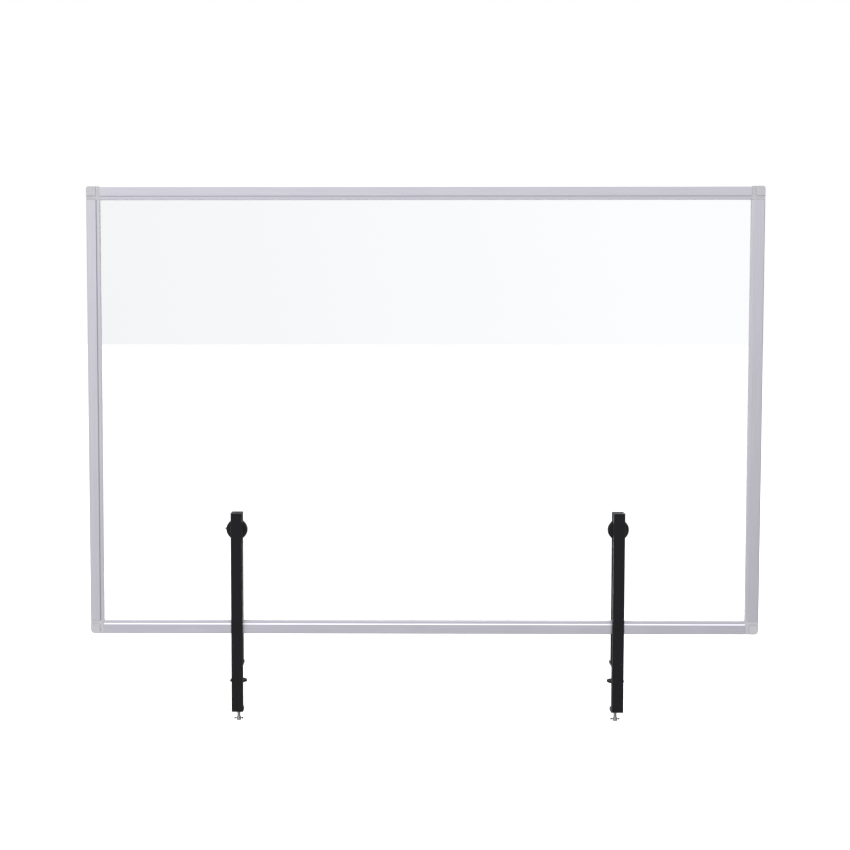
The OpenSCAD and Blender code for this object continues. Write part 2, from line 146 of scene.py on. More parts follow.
def middle(node: str) -> Vector:
    """The middle of a node's box."""
    low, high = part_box(node)
    return (low + high) / 2


def rounded(corners: Sequence[Corner], steps: int = 4) -> list[Point]:
    """Rounds the corners of an outline.

    Args:
        corners: Each corner's two places and the radius it is rounded to, in order. The outline is closed.
        steps: How many edges each rounded corner gets.

    Returns:
        The outline's points.
    """
    points = []
    for i, (x, y, radius) in enumerate(corners):
        here = Vector((x, y))
        before = (Vector(corners[i - 1][:2]) - here).normalized()
        after = (Vector(corners[(i + 1) % len(corners)][:2]) - here).normalized()
        if radius <= 0:
            points.append((x, y))
            continue
        half = before.angle(after) / 2
        centre = here + (before + after).normalized() * radius / math.sin(half)
        start = here + before * radius / math.tan(half) - centre
        sweep = start.angle_signed(here + after * radius / math.tan(half) - centre)
        for k in range(steps + 1):
            spoke = start.copy()
            spoke.rotate(Matrix.Rotation(-sweep * k / steps, 2))
            points.append(tuple(centre + spoke))
    return points


def face_outwards(piece: bpy.types.Object) -> None:
    """Welds doubled points and turns every face outwards.

    Args:
        piece: The piece, a closed shape.
    """
    pick(piece)
    edit_all()
    bpy.ops.mesh.remove_doubles(threshold=WELD)
    bpy.ops.mesh.normals_make_consistent(inside=False)
    bpy.ops.object.mode_set(mode="OBJECT")


def smooth(piece: bpy.types.Object) -> bpy.types.Object:
    """Smooths the shading over shallow edges and keeps the sharp ones.

    Args:
        piece: The piece.

    Returns:
        The same piece.
    """
    pick(piece)
    bpy.ops.object.shade_smooth_by_angle(angle=SMOOTH_ANGLE)
    return piece


def lay(piece: bpy.types.Object, matrix: Matrix) -> bpy.types.Object:
    """Puts a piece where a matrix says and moves that place into its mesh.

    Args:
        piece: The piece, as it was modelled.
        matrix: Its place and turn.

    Returns:
        The same piece.
    """
    pick(piece)
    piece.matrix_world = matrix
    settle()
    return piece


def place(piece: bpy.types.Object, where: Vector, lie: Lie = Lie.UP, turn: float = 0.0) -> bpy.types.Object:
    """Lays a piece down where it belongs and applies its place to its mesh.

    Args:
        piece: The piece, modelled round the Z axis from the origin.
        where: Where its origin goes.
        lie: The way its Z axis points.
        turn: How far it is turned round its own Z axis first, in radians.

    Returns:
        The same piece.
    """
    return lay(piece, Matrix.Translation(where) @ lie.value @ Matrix.Rotation(turn, 4, "Z"))


def pull_rings(rings: Sequence[Point]) -> None:
    """Pulls the selected ring up through other rings, in edit mode.

    Args:
        rings: Radius and height of each ring, from the selected one on.
    """
    for (r0, z0), (r1, z1) in pairwise(rings):
        bpy.ops.mesh.extrude_region_move(TRANSFORM_OT_translate={"value": (0, 0, z1 - z0)})
        if abs(r1 - r0) > WELD:
            bpy.ops.transform.resize(value=(r1 / r0, r1 / r0, 1), center_override=(0, 0, z1))


def turned(
    name: str, profile: Sequence[Point], segments: int = RING, bored: bool = False
) -> bpy.types.Object:
    """Turns a piece round the Z axis by drawing a ring up through a profile.

    Args:
        name: The piece's name.
        profile: Radius and height of each ring.
        segments: Points round the ring.
        bored: True if the profile comes back to its start, so that the piece has a hole through it.

    Returns:
        The piece, standing on the Z axis.
    """
    deselect_all()
    radius, height = profile[0]
    fill = "NOTHING" if bored else "NGON"
    bpy.ops.mesh.primitive_circle_add(
        vertices=segments, radius=radius, fill_type=fill, location=(0, 0, height)
    )
    piece = named(name)
    settle()
    edit_all()
    pull_rings([*profile, profile[0]] if bored else profile)
    face_outwards(piece)
    return smooth(piece)


def first_point(name: str, where: Point) -> bpy.types.Object:
    """Starts a piece as one point in the XY plane, selected in edit mode.

    Args:
        name: The piece's name.
        where: The point's place.

    Returns:
        The piece.
    """
    deselect_all()
    bpy.ops.mesh.primitive_plane_add(size=MM)
    piece = named(name)
    edit_all()
    bpy.ops.mesh.merge(type="CENTER")
    bpy.ops.transform.translate(value=(*where, 0))
    return piece


def drawn(name: str, outline: Sequence[Point], length: float) -> bpy.types.Object:
    """Draws an outline point by point in the XY plane, closes it and pulls it up to a length.

    Args:
        name: The piece's name.
        outline: The outline's points, in order.
        length: How far it is pulled along +Z.

    Returns:
        The piece, standing on the XY plane.
    """
    piece = first_point(name, outline[0])
    for (x0, y0), (x1, y1) in pairwise([*outline, outline[0]]):
        bpy.ops.mesh.extrude_vertices_move(TRANSFORM_OT_translate={"value": (x1 - x0, y1 - y0, 0)})
    bpy.ops.mesh.select_all(action="SELECT")
    bpy.ops.mesh.remove_doubles(threshold=WELD)
    bpy.ops.mesh.edge_face_add()
    bpy.ops.mesh.extrude_region_move(TRANSFORM_OT_translate={"value": (0, 0, length)})
    face_outwards(piece)
    return smooth(piece)


def framed(name: str, width: float, height: float, profile: Sequence[Point]) -> bpy.types.Object:
    """Draws a closed, mitred frame in the XZ plane by pulling one rectangle round a profile.

    Args:
        name: The piece's name.
        width: Width of the rectangle that the profile is measured from.
        height: Height of that rectangle.
        profile: How far out from the rectangle, and how far back, each point of the profile lies.

    Returns:
        The frame, centred on the origin.
    """
    deselect_all()
    bpy.ops.mesh.primitive_plane_add(size=1, rotation=(math.pi / 2, 0, 0))
    piece = named(name)
    out, back = profile[0]
    piece.scale = (width + 2 * out, height + 2 * out, 1)
    piece.location = (0, back, 0)
    settle()
    edit_all()
    bpy.ops.mesh.delete(type="ONLY_FACE")
    bpy.ops.mesh.select_all(action="SELECT")
    for (o0, b0), (o1, b1) in pairwise([*profile, profile[0]]):
        bpy.ops.mesh.extrude_region_move(TRANSFORM_OT_translate={"value": (0, b1 - b0, 0)})
        wider, taller = (width + 2 * o1) / (width + 2 * o0), (height + 2 * o1) / (height + 2 * o0)
        bpy.ops.transform.resize(value=(wider, 1, taller), center_override=(0, b1, 0))
    face_outwards(piece)
    return smooth(piece)


def block(name: str, low: Vector, high: Vector, edge: float, steps: int = 3) -> bpy.types.Object:
    """A block between two corners, with all its edges rounded.

    Args:
        name: The piece's name.
        low: Its lowest corner.
        high: Its highest corner.
        edge: Radius of its edges.
        steps: How many faces each rounded edge gets.

    Returns:
        The block, in place.
    """
    deselect_all()
    bpy.ops.mesh.primitive_cube_add(size=1, location=(low + high) / 2, scale=high - low)
    piece = named(name)
    settle()
    edit_all()
    bpy.ops.mesh.bevel(offset=edge, segments=steps)
    bpy.ops.object.mode_set(mode="OBJECT")
    return smooth(piece)


def use_modifier(piece: bpy.types.Object, kind: str, settings: dict[str, object]) -> None:
    """Adds a modifier and applies it.

    Args:
        piece: The piece.
        kind: The modifier's type.
        settings: Its settings, by name.
    """
    pick(piece)
    modifier = piece.modifiers.new(kind.lower(), kind)
    for key, value in settings.items():
        setattr(modifier, key, value)
    bpy.ops.object.modifier_apply(modifier=modifier.name)


def ease_edges(piece: bpy.types.Object, edge: float, steps: int = 2, least: float = 40.0) -> bpy.types.Object:
    """Rounds a piece's sharp edges.

    Args:
        piece: The piece.
        edge: Radius of its edges.
        steps: How many faces each rounded edge gets.
        least: Edges that turn by less than this, in degrees, stay as they are.

    Returns:
        The same piece.
    """
    angle = math.radians(least)
    settings = {"width": edge, "segments": steps, "limit_method": "ANGLE", "angle_limit": angle}
    use_modifier(piece, "BEVEL", {**settings, "use_clamp_overlap": True})
    return smooth(piece)


def cut(piece: bpy.types.Object, cutter: bpy.types.Object) -> None:
    """Takes one shape out of another, and throws the cutter away."""
    use_modifier(piece, "BOOLEAN", {"operation": "DIFFERENCE", "solver": "EXACT", "object": cutter})
    bpy.data.objects.remove(cutter)


def drill(
    piece: bpy.types.Object, radius: float, long: float, where: Vector, lie: Lie = Lie.UP, segments: int = 32
) -> None:
    """Cuts a straight hole.

    Args:
        piece: The piece that is drilled.
        radius: The hole's radius, to its corners.
        long: Its length.
        where: The middle of its first end.
        lie: The way it runs from there.
        segments: Points round it; six make a key's socket.
    """
    cut(piece, place(turned("bit", [(radius, 0), (radius, long)], segments), where, lie))


def joined(name: str, pieces: Sequence[bpy.types.Object]) -> bpy.types.Object:
    """Joins several pieces into the first.

    Args:
        name: The result's name.
        pieces: The pieces.

    Returns:
        The result.
    """
    pick(*pieces)
    if len(pieces) > 1:
        bpy.ops.object.join()
    return named(name)


def copied(piece: bpy.types.Object) -> bpy.types.Object:
    """Copies a piece.

    Args:
        piece: The piece.

    Returns:
        A copy with a mesh of its own.
    """
    copy = bpy.data.objects.new(piece.name, piece.data.copy())
    bpy.context.scene.collection.objects.link(copy)
    return copy


def eased(node: str, name: str, edge: float, steps: int = 2) -> bpy.types.Object:
    """A finished copy of a node whose form is right: welded, its flats made whole and its edges rounded.

    Args:
        node: The node's name.
        name: The new piece's name.
        edge: Radius of its edges.
        steps: How many faces each rounded edge gets.

    Returns:
        The new piece, in place.
    """
    piece = bpy.data.objects.new(name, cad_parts[node].data.copy())
    bpy.context.scene.collection.objects.link(piece)
    pick(piece)
    bpy.ops.mesh.customdata_custom_splitnormals_clear()
    edit_all()
    bpy.ops.mesh.remove_doubles(threshold=WELD)
    bpy.ops.mesh.dissolve_limited(angle_limit=math.radians(1))
    bpy.ops.object.mode_set(mode="OBJECT")
    return ease_edges(piece, edge, steps)


def thread(name: str, radius: float, pitch: float, depth: float, length: float) -> bpy.types.Object:
    """A helical screw thread round the Z axis, from the origin up.

    Args:
        name: The piece's name.
        radius: Radius over the thread's crests.
        pitch: Rise of one turn.
        depth: Depth of the thread.
        length: Length of the thread.

    Returns:
        The threaded rod, closed at both ends.
    """
    flat = pitch / 8
    ramp = (pitch - 2 * flat) / 2
    piece = first_point(name, (radius - depth, 0))
    for out, rise in ((0, flat), (depth, ramp), (0, flat), (-depth, ramp)):
        bpy.ops.mesh.extrude_vertices_move(TRANSFORM_OT_translate={"value": (out, 0, rise)})
    bpy.ops.object.mode_set(mode="OBJECT")
    turns = max(1, round(length / pitch) - 1)
    settings = {"axis": "Z", "angle": math.tau, "screw_offset": pitch, "iterations": turns}
    settings |= {"steps": 32, "render_steps": 32, "use_merge_vertices": True, "merge_threshold": WELD}
    use_modifier(piece, "SCREW", settings)
    edit_all()
    bpy.ops.mesh.remove_doubles(threshold=WELD)
    bpy.ops.mesh.fill_holes(sides=0)
    bpy.ops.object.mode_set(mode="OBJECT")
    face_outwards(piece)
    return smooth(piece)


def grooves(radii: Sequence[float], top: float, deep: float) -> list[Point]:
    """Rings of a turned face that has round grooves moulded in it.

    Args:
        radii: Middle radius of each groove, from the outermost inwards.
        top: Height of the face.
        deep: Depth of the grooves.

    Returns:
        Radius and height of each ring.
    """
    steps = ((0.5 * MM, 0.0), (0.25 * MM, deep), (-0.25 * MM, deep), (-0.5 * MM, 0.0))
    return [(radius + out, top - down) for radius in radii for out, down in steps]


def ball_points(radius: float, centre: float, first: float, last: float, steps: int = 14) -> list[Point]:
    """Rings on a ball, between two angles above its middle.

    Args:
        radius: The ball's radius.
        centre: Height of its middle.
        first: Angle of the first ring, in degrees above the middle.
        last: Angle of the last ring.
        steps: How many bands lie between them.

    Returns:
        Radius and height of each ring.
    """
    angles = [math.radians(first + (last - first) * k / steps) for k in range(steps + 1)]
    return [(radius * math.cos(a), centre + radius * math.sin(a)) for a in angles]


# ---------------------------------------------------------------- finishes


class Sheet:
    """Short ways to lay out nodes in one node tree."""

    def __init__(self, tree: bpy.types.NodeTree) -> None:
        """Starts on an empty tree."""
        self.tree = tree

    def add(self, kind: str, values: dict | None = None, **settings: object) -> bpy.types.Node:
        """Adds a node.

        Args:
            kind: Its type without the leading ShaderNode.
            values: What its inputs hold: plain values, or output sockets to link.
            **settings: Its own properties.

        Returns:
            The node.
        """
        node = self.tree.nodes.new("ShaderNode" + kind)
        for key, value in settings.items():
            setattr(node, key, value)
        for key, value in (values or {}).items():
            if isinstance(value, bpy.types.NodeSocket):
                self.tree.links.new(value, node.inputs[key])
            else:
                node.inputs[key].default_value = value
        return node

    def math(self, operation: str, *values: float | bpy.types.NodeSocket) -> bpy.types.NodeSocket:
        """Works one or two values out into another, and gives the result's socket."""
        return self.add("Math", dict(enumerate(values)), operation=operation).outputs[0]

    def mix(self, share: object, first: object, second: object) -> bpy.types.NodeSocket:
        """Mixes two colours.

        Args:
            share: The second colour's share, as a number or a socket.
            first: The first colour.
            second: The second colour.

        Returns:
            The mixed colour's socket.
        """
        node = self.tree.nodes.new("ShaderNodeMix")
        node.data_type = "RGBA"
        for label, value in (("Factor_Float", share), ("A_Color", first), ("B_Color", second)):
            socket = next(s for s in node.inputs if s.identifier == label)
            if isinstance(value, bpy.types.NodeSocket):
                self.tree.links.new(value, socket)
            else:
                socket.default_value = value
        return next(s for s in node.outputs if s.identifier == "Result_Color")

    def stretch(
        self, value: bpy.types.NodeSocket, low: float, high: float, to_low: float, to_high: float
    ) -> bpy.types.NodeSocket:
        """Maps a value from one range to another, and gives the result's socket."""
        limits = {"Value": value, "From Min": low, "From Max": high, "To Min": to_low, "To Max": to_high}
        return self.add("MapRange", limits).outputs["Result"]


def effect(name: str, inputs: dict[str, float], outputs: Sequence[str], draw: Callable) -> bpy.types.NodeTree:
    """Builds a shared effect once, as a node group.

    Args:
        name: The group's name.
        inputs: The named number inputs and their usual values; a vector input called Place comes first.
        outputs: The named number outputs.
        draw: Lays out the group, given its sheet and its input node; returns a socket for each output.

    Returns:
        The group.
    """
    group = bpy.data.node_groups.new(name, "ShaderNodeTree")
    group.interface.new_socket("Place", in_out="INPUT", socket_type="NodeSocketVector")
    for key, value in inputs.items():
        group.interface.new_socket(key, in_out="INPUT", socket_type="NodeSocketFloat").default_value = value
    for key in outputs:
        group.interface.new_socket(key, in_out="OUTPUT", socket_type="NodeSocketFloat")
    sheet = Sheet(group)
    entry = group.nodes.new("NodeGroupInput")
    leave = group.nodes.new("NodeGroupOutput")
    for key, socket in zip(outputs, draw(sheet, entry), strict=True):
        group.links.new(socket, leave.inputs[key])
    return group


def draw_lines(sheet: Sheet, entry: bpy.types.Node) -> list[bpy.types.NodeSocket]:
    """Fine drawn lines that run along the piece's X axis, as die marks do.

    Args:
        sheet: Lays out the group's nodes.
        entry: The group's inputs.

    Returns:
        Sockets of its height and shade.
    """
    shrink = sheet.add("CombineXYZ", {"X": entry.outputs["Along"], "Y": 1.0, "Z": 1.0}).outputs[0]
    spot = sheet.add("VectorMath", {0: entry.outputs["Place"], 1: shrink}, operation="MULTIPLY").outputs[0]
    scale = entry.outputs["Scale"]
    fine = sheet.add("TexNoise", {"Vector": spot, "Scale": scale, "Detail": 4.0, "Roughness": 0.7})
    fifth = sheet.math("MULTIPLY", scale, 0.2)
    broad = sheet.add("TexNoise", {"Vector": spot, "Scale": fifth, "Detail": 2.0})
    total = sheet.math("ADD", fine.outputs["Fac"], broad.outputs["Fac"])
    return [fine.outputs["Fac"], sheet.stretch(total, 0.7, 1.3, 0.0, 1.0)]


def draw_peel(sheet: Sheet, entry: bpy.types.Node) -> list[bpy.types.NodeSocket]:
    """The gentle waves and fine grit of a sprayed or moulded skin.

    Args:
        sheet: Lays out the group's nodes.
        entry: The group's inputs.

    Returns:
        Sockets of its height and shade.
    """
    spot, scale = entry.outputs["Place"], entry.outputs["Scale"]
    waves = sheet.add("TexNoise", {"Vector": spot, "Scale": scale, "Detail": 1.5, "Roughness": 0.4})
    finer = sheet.math("MULTIPLY", scale, 3.7)
    grit = sheet.add("TexNoise", {"Vector": spot, "Scale": finer, "Detail": 2.0, "Roughness": 0.6})
    part = sheet.math("MULTIPLY", grit.outputs["Fac"], entry.outputs["Grit"])
    height = sheet.math("ADD", waves.outputs["Fac"], part)
    return [height, sheet.stretch(grit.outputs["Fac"], 0.35, 0.65, 0.0, 1.0)]


def draw_handling(sheet: Sheet, entry: bpy.types.Node) -> list[bpy.types.NodeSocket]:
    """What hands and cloths leave, soft smudges, and short hairline rubs.

    Args:
        sheet: Lays out the group's nodes.
        entry: The group's inputs.

    Returns:
        Sockets of its smudge and rub.
    """
    spot, scale = entry.outputs["Place"], entry.outputs["Scale"]
    soft = sheet.add("TexNoise", {"Vector": spot, "Scale": scale, "Detail": 3.0, "Distortion": 0.6})
    smudge = sheet.stretch(soft.outputs["Fac"], 0.42, 0.7, 0.0, 1.0)
    lean = sheet.add("Mapping", {"Vector": spot, "Rotation": (0.4, 0.7, 0.3), "Scale": (6.0, 60.0, 60.0)})
    skew = lean.outputs[0]
    hairs = sheet.add("TexNoise", {"Vector": skew, "Scale": scale, "Detail": 5.0, "Roughness": 0.8})
    rub = sheet.stretch(hairs.outputs["Fac"], 0.6, 0.68, 0.0, 1.0)
    return [smudge, sheet.math("MULTIPLY", rub, smudge)]


def draw_fibres(sheet: Sheet, entry: bpy.types.Node) -> list[bpy.types.NodeSocket]:
    """The matted fibres of felt.

    Args:
        sheet: Lays out the group's nodes.
        entry: The group's inputs.

    Returns:
        Sockets of its height and shade.
    """
    spot, scale = entry.outputs["Place"], entry.outputs["Scale"]
    where = {"Vector": spot, "Scale": scale}
    mat = sheet.add("TexNoise", {**where, "Detail": 6.0, "Roughness": 0.8, "Distortion": 2.5})
    pills = sheet.add("TexVoronoi", {**where, "Randomness": 1.0})
    total = sheet.math("ADD", mat.outputs["Fac"], pills.outputs["Distance"])
    return [total, sheet.stretch(mat.outputs["Fac"], 0.3, 0.7, 0.0, 1.0)]


LINES = effect("drawn_lines", {"Scale": 3000.0, "Along": 0.02}, ("Height", "Shade"), draw_lines)
PEEL = effect("sprayed_skin", {"Scale": 900.0, "Grit": 0.3}, ("Height", "Shade"), draw_peel)
HANDLING = effect("handling_marks", {"Scale": 20.0}, ("Smudge", "Rub"), draw_handling)
FIBRES = effect("felt_fibres", {"Scale": 1500.0}, ("Height", "Shade"), draw_fibres)


def rgba(colour: Sequence[float]) -> tuple[float, float, float, float]:
    """A colour with full alpha."""
    return (*colour, 1.0)


@dataclass(frozen=True)
class Finish:
    """What every opaque finish has: its colour, its gloss and the fine relief of its skin."""

    name: str
    colour: tuple[float, float, float]
    shade: tuple[float, float, float]
    roughness: float
    rougher: float
    relief: float
    scale: float
    metallic: float = 0.0
    specular: float = 0.5

    def skin(self, sheet: Sheet, spot: bpy.types.NodeSocket) -> bpy.types.Node:
        """The effect that gives the finish its height and shade."""
        return sheet.add("Group", {"Place": spot, "Scale": self.scale}, node_tree=PEEL)

    def build(self) -> bpy.types.Material:
        """Builds the material.

        Returns:
            A material whose colour, roughness and bump follow the finish's skin and its handling marks.
        """
        material = bpy.data.materials.new(self.name)
        material.use_nodes = True
        sheet = Sheet(material.node_tree)
        surface = material.node_tree.nodes["Principled BSDF"]
        spot = sheet.add("TexCoord").outputs["Object"]
        skin = self.skin(sheet, spot)
        marks = sheet.add("Group", {"Place": spot}, node_tree=HANDLING)
        colour = sheet.mix(skin.outputs["Shade"], rgba(self.colour), rgba(self.shade))
        smudged = sheet.stretch(marks.outputs["Smudge"], 0.0, 1.0, self.roughness, self.rougher)
        rubbed = sheet.stretch(marks.outputs["Rub"], 0.0, 1.0, 0.0, 0.06)
        rough = sheet.math("ADD", smudged, rubbed)
        bump = sheet.add("Bump", {"Height": skin.outputs["Height"], "Distance": self.relief, "Strength": 1.0})
        for socket, value in (("Base Color", colour), ("Roughness", rough), ("Normal", bump.outputs[0])):
            material.node_tree.links.new(value, surface.inputs[socket])
        surface.inputs["Metallic"].default_value = self.metallic
        surface.inputs["Specular IOR Level"].default_value = self.specular
        self.polish(surface)
        return material

    def polish(self, surface: bpy.types.Node) -> None:
        """Sets what one kind of finish has beyond the others."""


@dataclass(frozen=True)
class Anodised(Finish):
    """Satin anodised aluminium with faint die marks along one axis."""

    along: tuple[float, float, float] = (0.0, 0.0, 0.0)

    def skin(self, sheet: Sheet, spot: bpy.types.NodeSocket) -> bpy.types.Node:
        """Drawn lines, turned to run along the piece."""
        turn = sheet.add("Mapping", {"Vector": spot, "Rotation": self.along}).outputs[0]
        return sheet.add("Group", {"Place": turn, "Scale": self.scale}, node_tree=LINES)


@dataclass(frozen=True)
class Felt(Finish):
    """Short matted felt with a soft sheen."""

    def skin(self, sheet: Sheet, spot: bpy.types.NodeSocket) -> bpy.types.Node:
        """Matted fibres."""
        return sheet.add("Group", {"Place": spot, "Scale": self.scale}, node_tree=FIBRES)

    def polish(self, surface: bpy.types.Node) -> None:
        """Adds the fibres' sheen."""
        surface.inputs["Sheen Weight"].default_value = 0.35
        surface.inputs["Sheen Roughness"].default_value = 0.5


@dataclass(frozen=True)
class ClearGlass:
    """Clear float glass with a faint cool tint and the odd smudge."""

    name: str
    tint: tuple[float, float, float]
    smudge: float

    def build(self) -> bpy.types.Material:
        """Builds the material.

        Returns:
            A see-through material whose roughness follows its handling marks.
        """
        material = bpy.data.materials.new(self.name)
        material.use_nodes = True
        sheet = Sheet(material.node_tree)
        surface = material.node_tree.nodes["Principled BSDF"]
        spot = sheet.add("TexCoord").outputs["Object"]
        marks = sheet.add("Group", {"Place": spot, "Scale": 6.0}, node_tree=HANDLING)
        rough = sheet.stretch(marks.outputs["Smudge"], 0.0, 1.0, 0.0, self.smudge)
        material.node_tree.links.new(rough, surface.inputs["Roughness"])
        surface.inputs["Base Color"].default_value = rgba(self.tint)
        surface.inputs["Metallic"].default_value = 0.0
        surface.inputs["Transmission Weight"].default_value = 1.0
        surface.inputs["IOR"].default_value = 1.5
        return material


RELIEF = 0.03 * MM
SILVER = (0.86, 0.845, 0.93)
SILVER_SHADE = (0.79, 0.775, 0.86)
FINISHES = (
    Anodised("level_aluminium", SILVER, SILVER_SHADE, 0.3, 0.38, 0.01 * MM, 2600.0, 1.0),
    Anodised(
        "upright_aluminium", SILVER, SILVER_SHADE, 0.3, 0.38, 0.01 * MM, 2600.0, 1.0, along=(0, QUARTER, 0)
    ),
    Finish("grey_plastic", (0.34, 0.335, 0.355), (0.28, 0.275, 0.295), 0.5, 0.6, 0.05 * MM, 1500.0),
    Finish("grey_rubber", (0.45, 0.45, 0.48), (0.38, 0.38, 0.41), 0.6, 0.7, 0.02 * MM, 1800.0),
    Finish(
        "black_coat", (0.0028, 0.0028, 0.004), (0.005, 0.005, 0.0065), 0.4, 0.48, RELIEF, 900.0, specular=0.24
    ),
    Finish(
        "black_rubber",
        (0.004, 0.004, 0.0045),
        (0.007, 0.007, 0.0078),
        0.62,
        0.75,
        RELIEF,
        1500.0,
        specular=0.3,
    ),
    Finish(
        "black_plastic",
        (0.004, 0.004, 0.005),
        (0.006, 0.006, 0.0068),
        0.42,
        0.5,
        RELIEF,
        1800.0,
        specular=0.35,
    ),
    Felt("black_felt", (0.012, 0.012, 0.013), (0.022, 0.022, 0.024), 0.95, 1.0, 0.3 * MM, 1500.0),
    Finish("zinc_steel", (0.55, 0.56, 0.58), (0.48, 0.49, 0.52), 0.28, 0.4, 0.01 * MM, 1200.0, 1.0),
    Finish("bright_steel", (0.66, 0.65, 0.65), (0.6, 0.59, 0.6), 0.14, 0.24, 0.005 * MM, 1500.0, 1.0),
    ClearGlass("clear_glass", (0.95, 0.96, 0.972), 0.02),
)
MATERIALS = {finish.name: finish.build() for finish in FINISHES}


def dress(piece: bpy.types.Object, finish: str) -> None:
    """Gives a piece one finish all over."""
    piece.data.materials.clear()
    piece.data.materials.append(MATERIALS[finish])


def fit(piece: bpy.types.Object, finish: str, body: str, *nodes: str) -> bpy.types.Object:
    """Dresses a finished piece, puts it in place of its nodes and lets it ride.

    Args:
        piece: The finished piece, in place.
        finish: The name of its finish.
        body: The body it moves with.
        *nodes: The nodes it stands for.

    Returns:
        The same piece.
    """
    use_modifier(piece, "WEIGHTED_NORMAL", {"keep_sharp": True})
    dress(piece, finish)
    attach(piece, body)
    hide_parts(*nodes)
    LOG.info("%s rides on %s: %d faces", piece.name, body, len(piece.data.polygons))
    return piece


# ---------------------------------------------------------------- framed panel


@dataclass
class FramedPanel:
    """The pane, its gasket, the four rails and what joins their corners."""

    body: str = "panel"
    flat: float = 14.6 * MM
    step: float = 1.7 * MM
    step_drop: float = 1.0 * MM
    lip_fall: float = 0.15 * MM
    edge: float = 1.4 * MM
    lip_edge: float = 0.3 * MM
    flat_edge: float = 0.3 * MM
    lip: float = 0.2 * MM
    chamber_start: float = 2.2 * MM
    chamber_wide: float = 5 * MM
    chamber_deep: float = 5.8 * MM
    gasket_out: float = 0.7 * MM
    arris: float = 0.5 * MM
    cap_edge: float = 0.45 * MM
    hole: float = 1.55 * MM
    thread_gap: float = 0.05 * MM
    socket: float = 0.75 * MM
    socket_deep: float = 1.6 * MM
    rail_names: tuple[str, ...] = ("frame_top", "frame_bottom", "frame_left", "frame_right")
    cap_names: tuple[str, ...] = ("cap_top_left", "cap_top_right", "cap_bottom_left", "cap_bottom_right")
    hidden: tuple[str, ...] = ("corner_keys",)

    def build(self) -> None:
        """Builds and dresses every piece of the panel."""
        for name in self.rail_names:
            self.rail(name)
        for name in self.cap_names:
            fit(eased(name, name + "_moulding", self.cap_edge, 3), "grey_plastic", self.body, name)
        self.pane()
        self.gasket()
        self.grub_screws()
        for name in self.hidden:
            dress(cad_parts[name], "zinc_steel")

    def section(self, face: float, half: float, seal: float, pane_edge: float) -> list[Point]:
        """The rail's cross-section.

        Args:
            face: Width of the rail's face.
            half: Half its depth.
            seal: Half the width of the slot for the gasket.
            pane_edge: How far the slot's floor lies from the rail's outer edge.

        Returns:
            Points across the rail's depth and face, from its outer edge inwards.
        """
        step = half - self.step_drop
        side = [
            (half, 0, self.edge),
            (half, self.flat, self.flat_edge),
            (step, self.flat + self.step, self.lip),
            (step - self.lip_fall, face, self.lip_edge),
            (seal, face, self.lip),
            (seal, pane_edge, 0),
        ]
        return rounded([*side, *((-x, y, r) for x, y, r in reversed(side))], 5)

    def rail(self, node: str) -> None:
        """One rail: an extruded section with its key chamber and its two screw holes.

        Args:
            node: The rail's node.
        """
        low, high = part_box(node)
        gasket_low, gasket_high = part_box("glazing_gasket")
        outer_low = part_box("cap_bottom_left")[0]
        level = node in self.rail_names[:2]
        length = (high - low).x if level else (high - low).z
        face = (high - low).z if level else (high - low).x
        half = (high - low).y / 2
        seal = (gasket_high - gasket_low).y / 2
        slot_floor = gasket_low.z - outer_low.z
        piece = drawn(node + "_rail", self.section(face, half, seal, slot_floor), length)
        chamber = block(
            "chamber",
            Vector((-self.chamber_deep / 2, self.chamber_start, -MM)),
            Vector((self.chamber_deep / 2, self.chamber_start + self.chamber_wide, length + MM)),
            self.lip,
        )
        cut(piece, chamber)
        # The section's depth runs across X and its face along Y, and the rail is pulled up along Z
        turns = {
            "frame_bottom": Matrix(((0, 0, 1, low.x), (1, 0, 0, 0), (0, 1, 0, low.z), (0, 0, 0, 1))),
            "frame_top": Matrix(((0, 0, -1, high.x), (1, 0, 0, 0), (0, -1, 0, high.z), (0, 0, 0, 1))),
            "frame_left": Matrix(((0, 1, 0, low.x), (1, 0, 0, 0), (0, 0, -1, high.z), (0, 0, 0, 1))),
            "frame_right": Matrix(((0, -1, 0, high.x), (1, 0, 0, 0), (0, 0, 1, low.z), (0, 0, 0, 1))),
        }
        lay(piece, turns[node])
        for screw in self.screw_places():
            if low.x <= screw.x <= high.x and low.z <= screw.z <= high.z:
                drill(piece, self.hole, 2 * half, Vector((screw.x, 0, screw.z)), Lie.BACK)
        smooth(piece)
        fit(piece, "level_aluminium" if level else "upright_aluminium", self.body, node)

    def screw_places(self) -> list[Vector]:
        """Finds the grub screws from their node's separate solids.

        Returns:
            The middle of each.
        """
        spots: list[list[Vector]] = []
        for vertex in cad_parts["grub_screws"].data.vertices:
            near = next((s for s in spots if (s[0] - vertex.co).length < 6 * MM), None)
            if near is None:
                spots.append([vertex.co.copy()])
            else:
                near.append(vertex.co.copy())
        places = []
        for spot in spots:
            lows = [min(v[i] for v in spot) for i in range(3)]
            highs = [max(v[i] for v in spot) for i in range(3)]
            places.append((Vector(lows) + Vector(highs)) / 2)
        return places

    def grub_screws(self) -> None:
        """Eight hexagon-socket grub screws, flush with the back of the rails."""
        low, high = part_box("grub_screws")
        length = high.y - low.y
        radius = self.hole - self.thread_gap
        tip, rim = radius * 0.6, radius - 0.2 * MM
        first = turned("grub", [(tip, 0), (radius, 0.5 * MM), (radius, length - 0.2 * MM), (rim, length)], 36)
        start = Vector((0, 0, length - self.socket_deep))
        drill(first, self.socket, self.socket_deep + MM, start, segments=6)
        screws = [place(copied(first), Vector((s.x, low.y, s.z)), Lie.BACK) for s in self.screw_places()]
        bpy.data.objects.remove(first)
        fit(smooth(joined("grub_screws_set", screws)), "zinc_steel", self.body, "grub_screws")

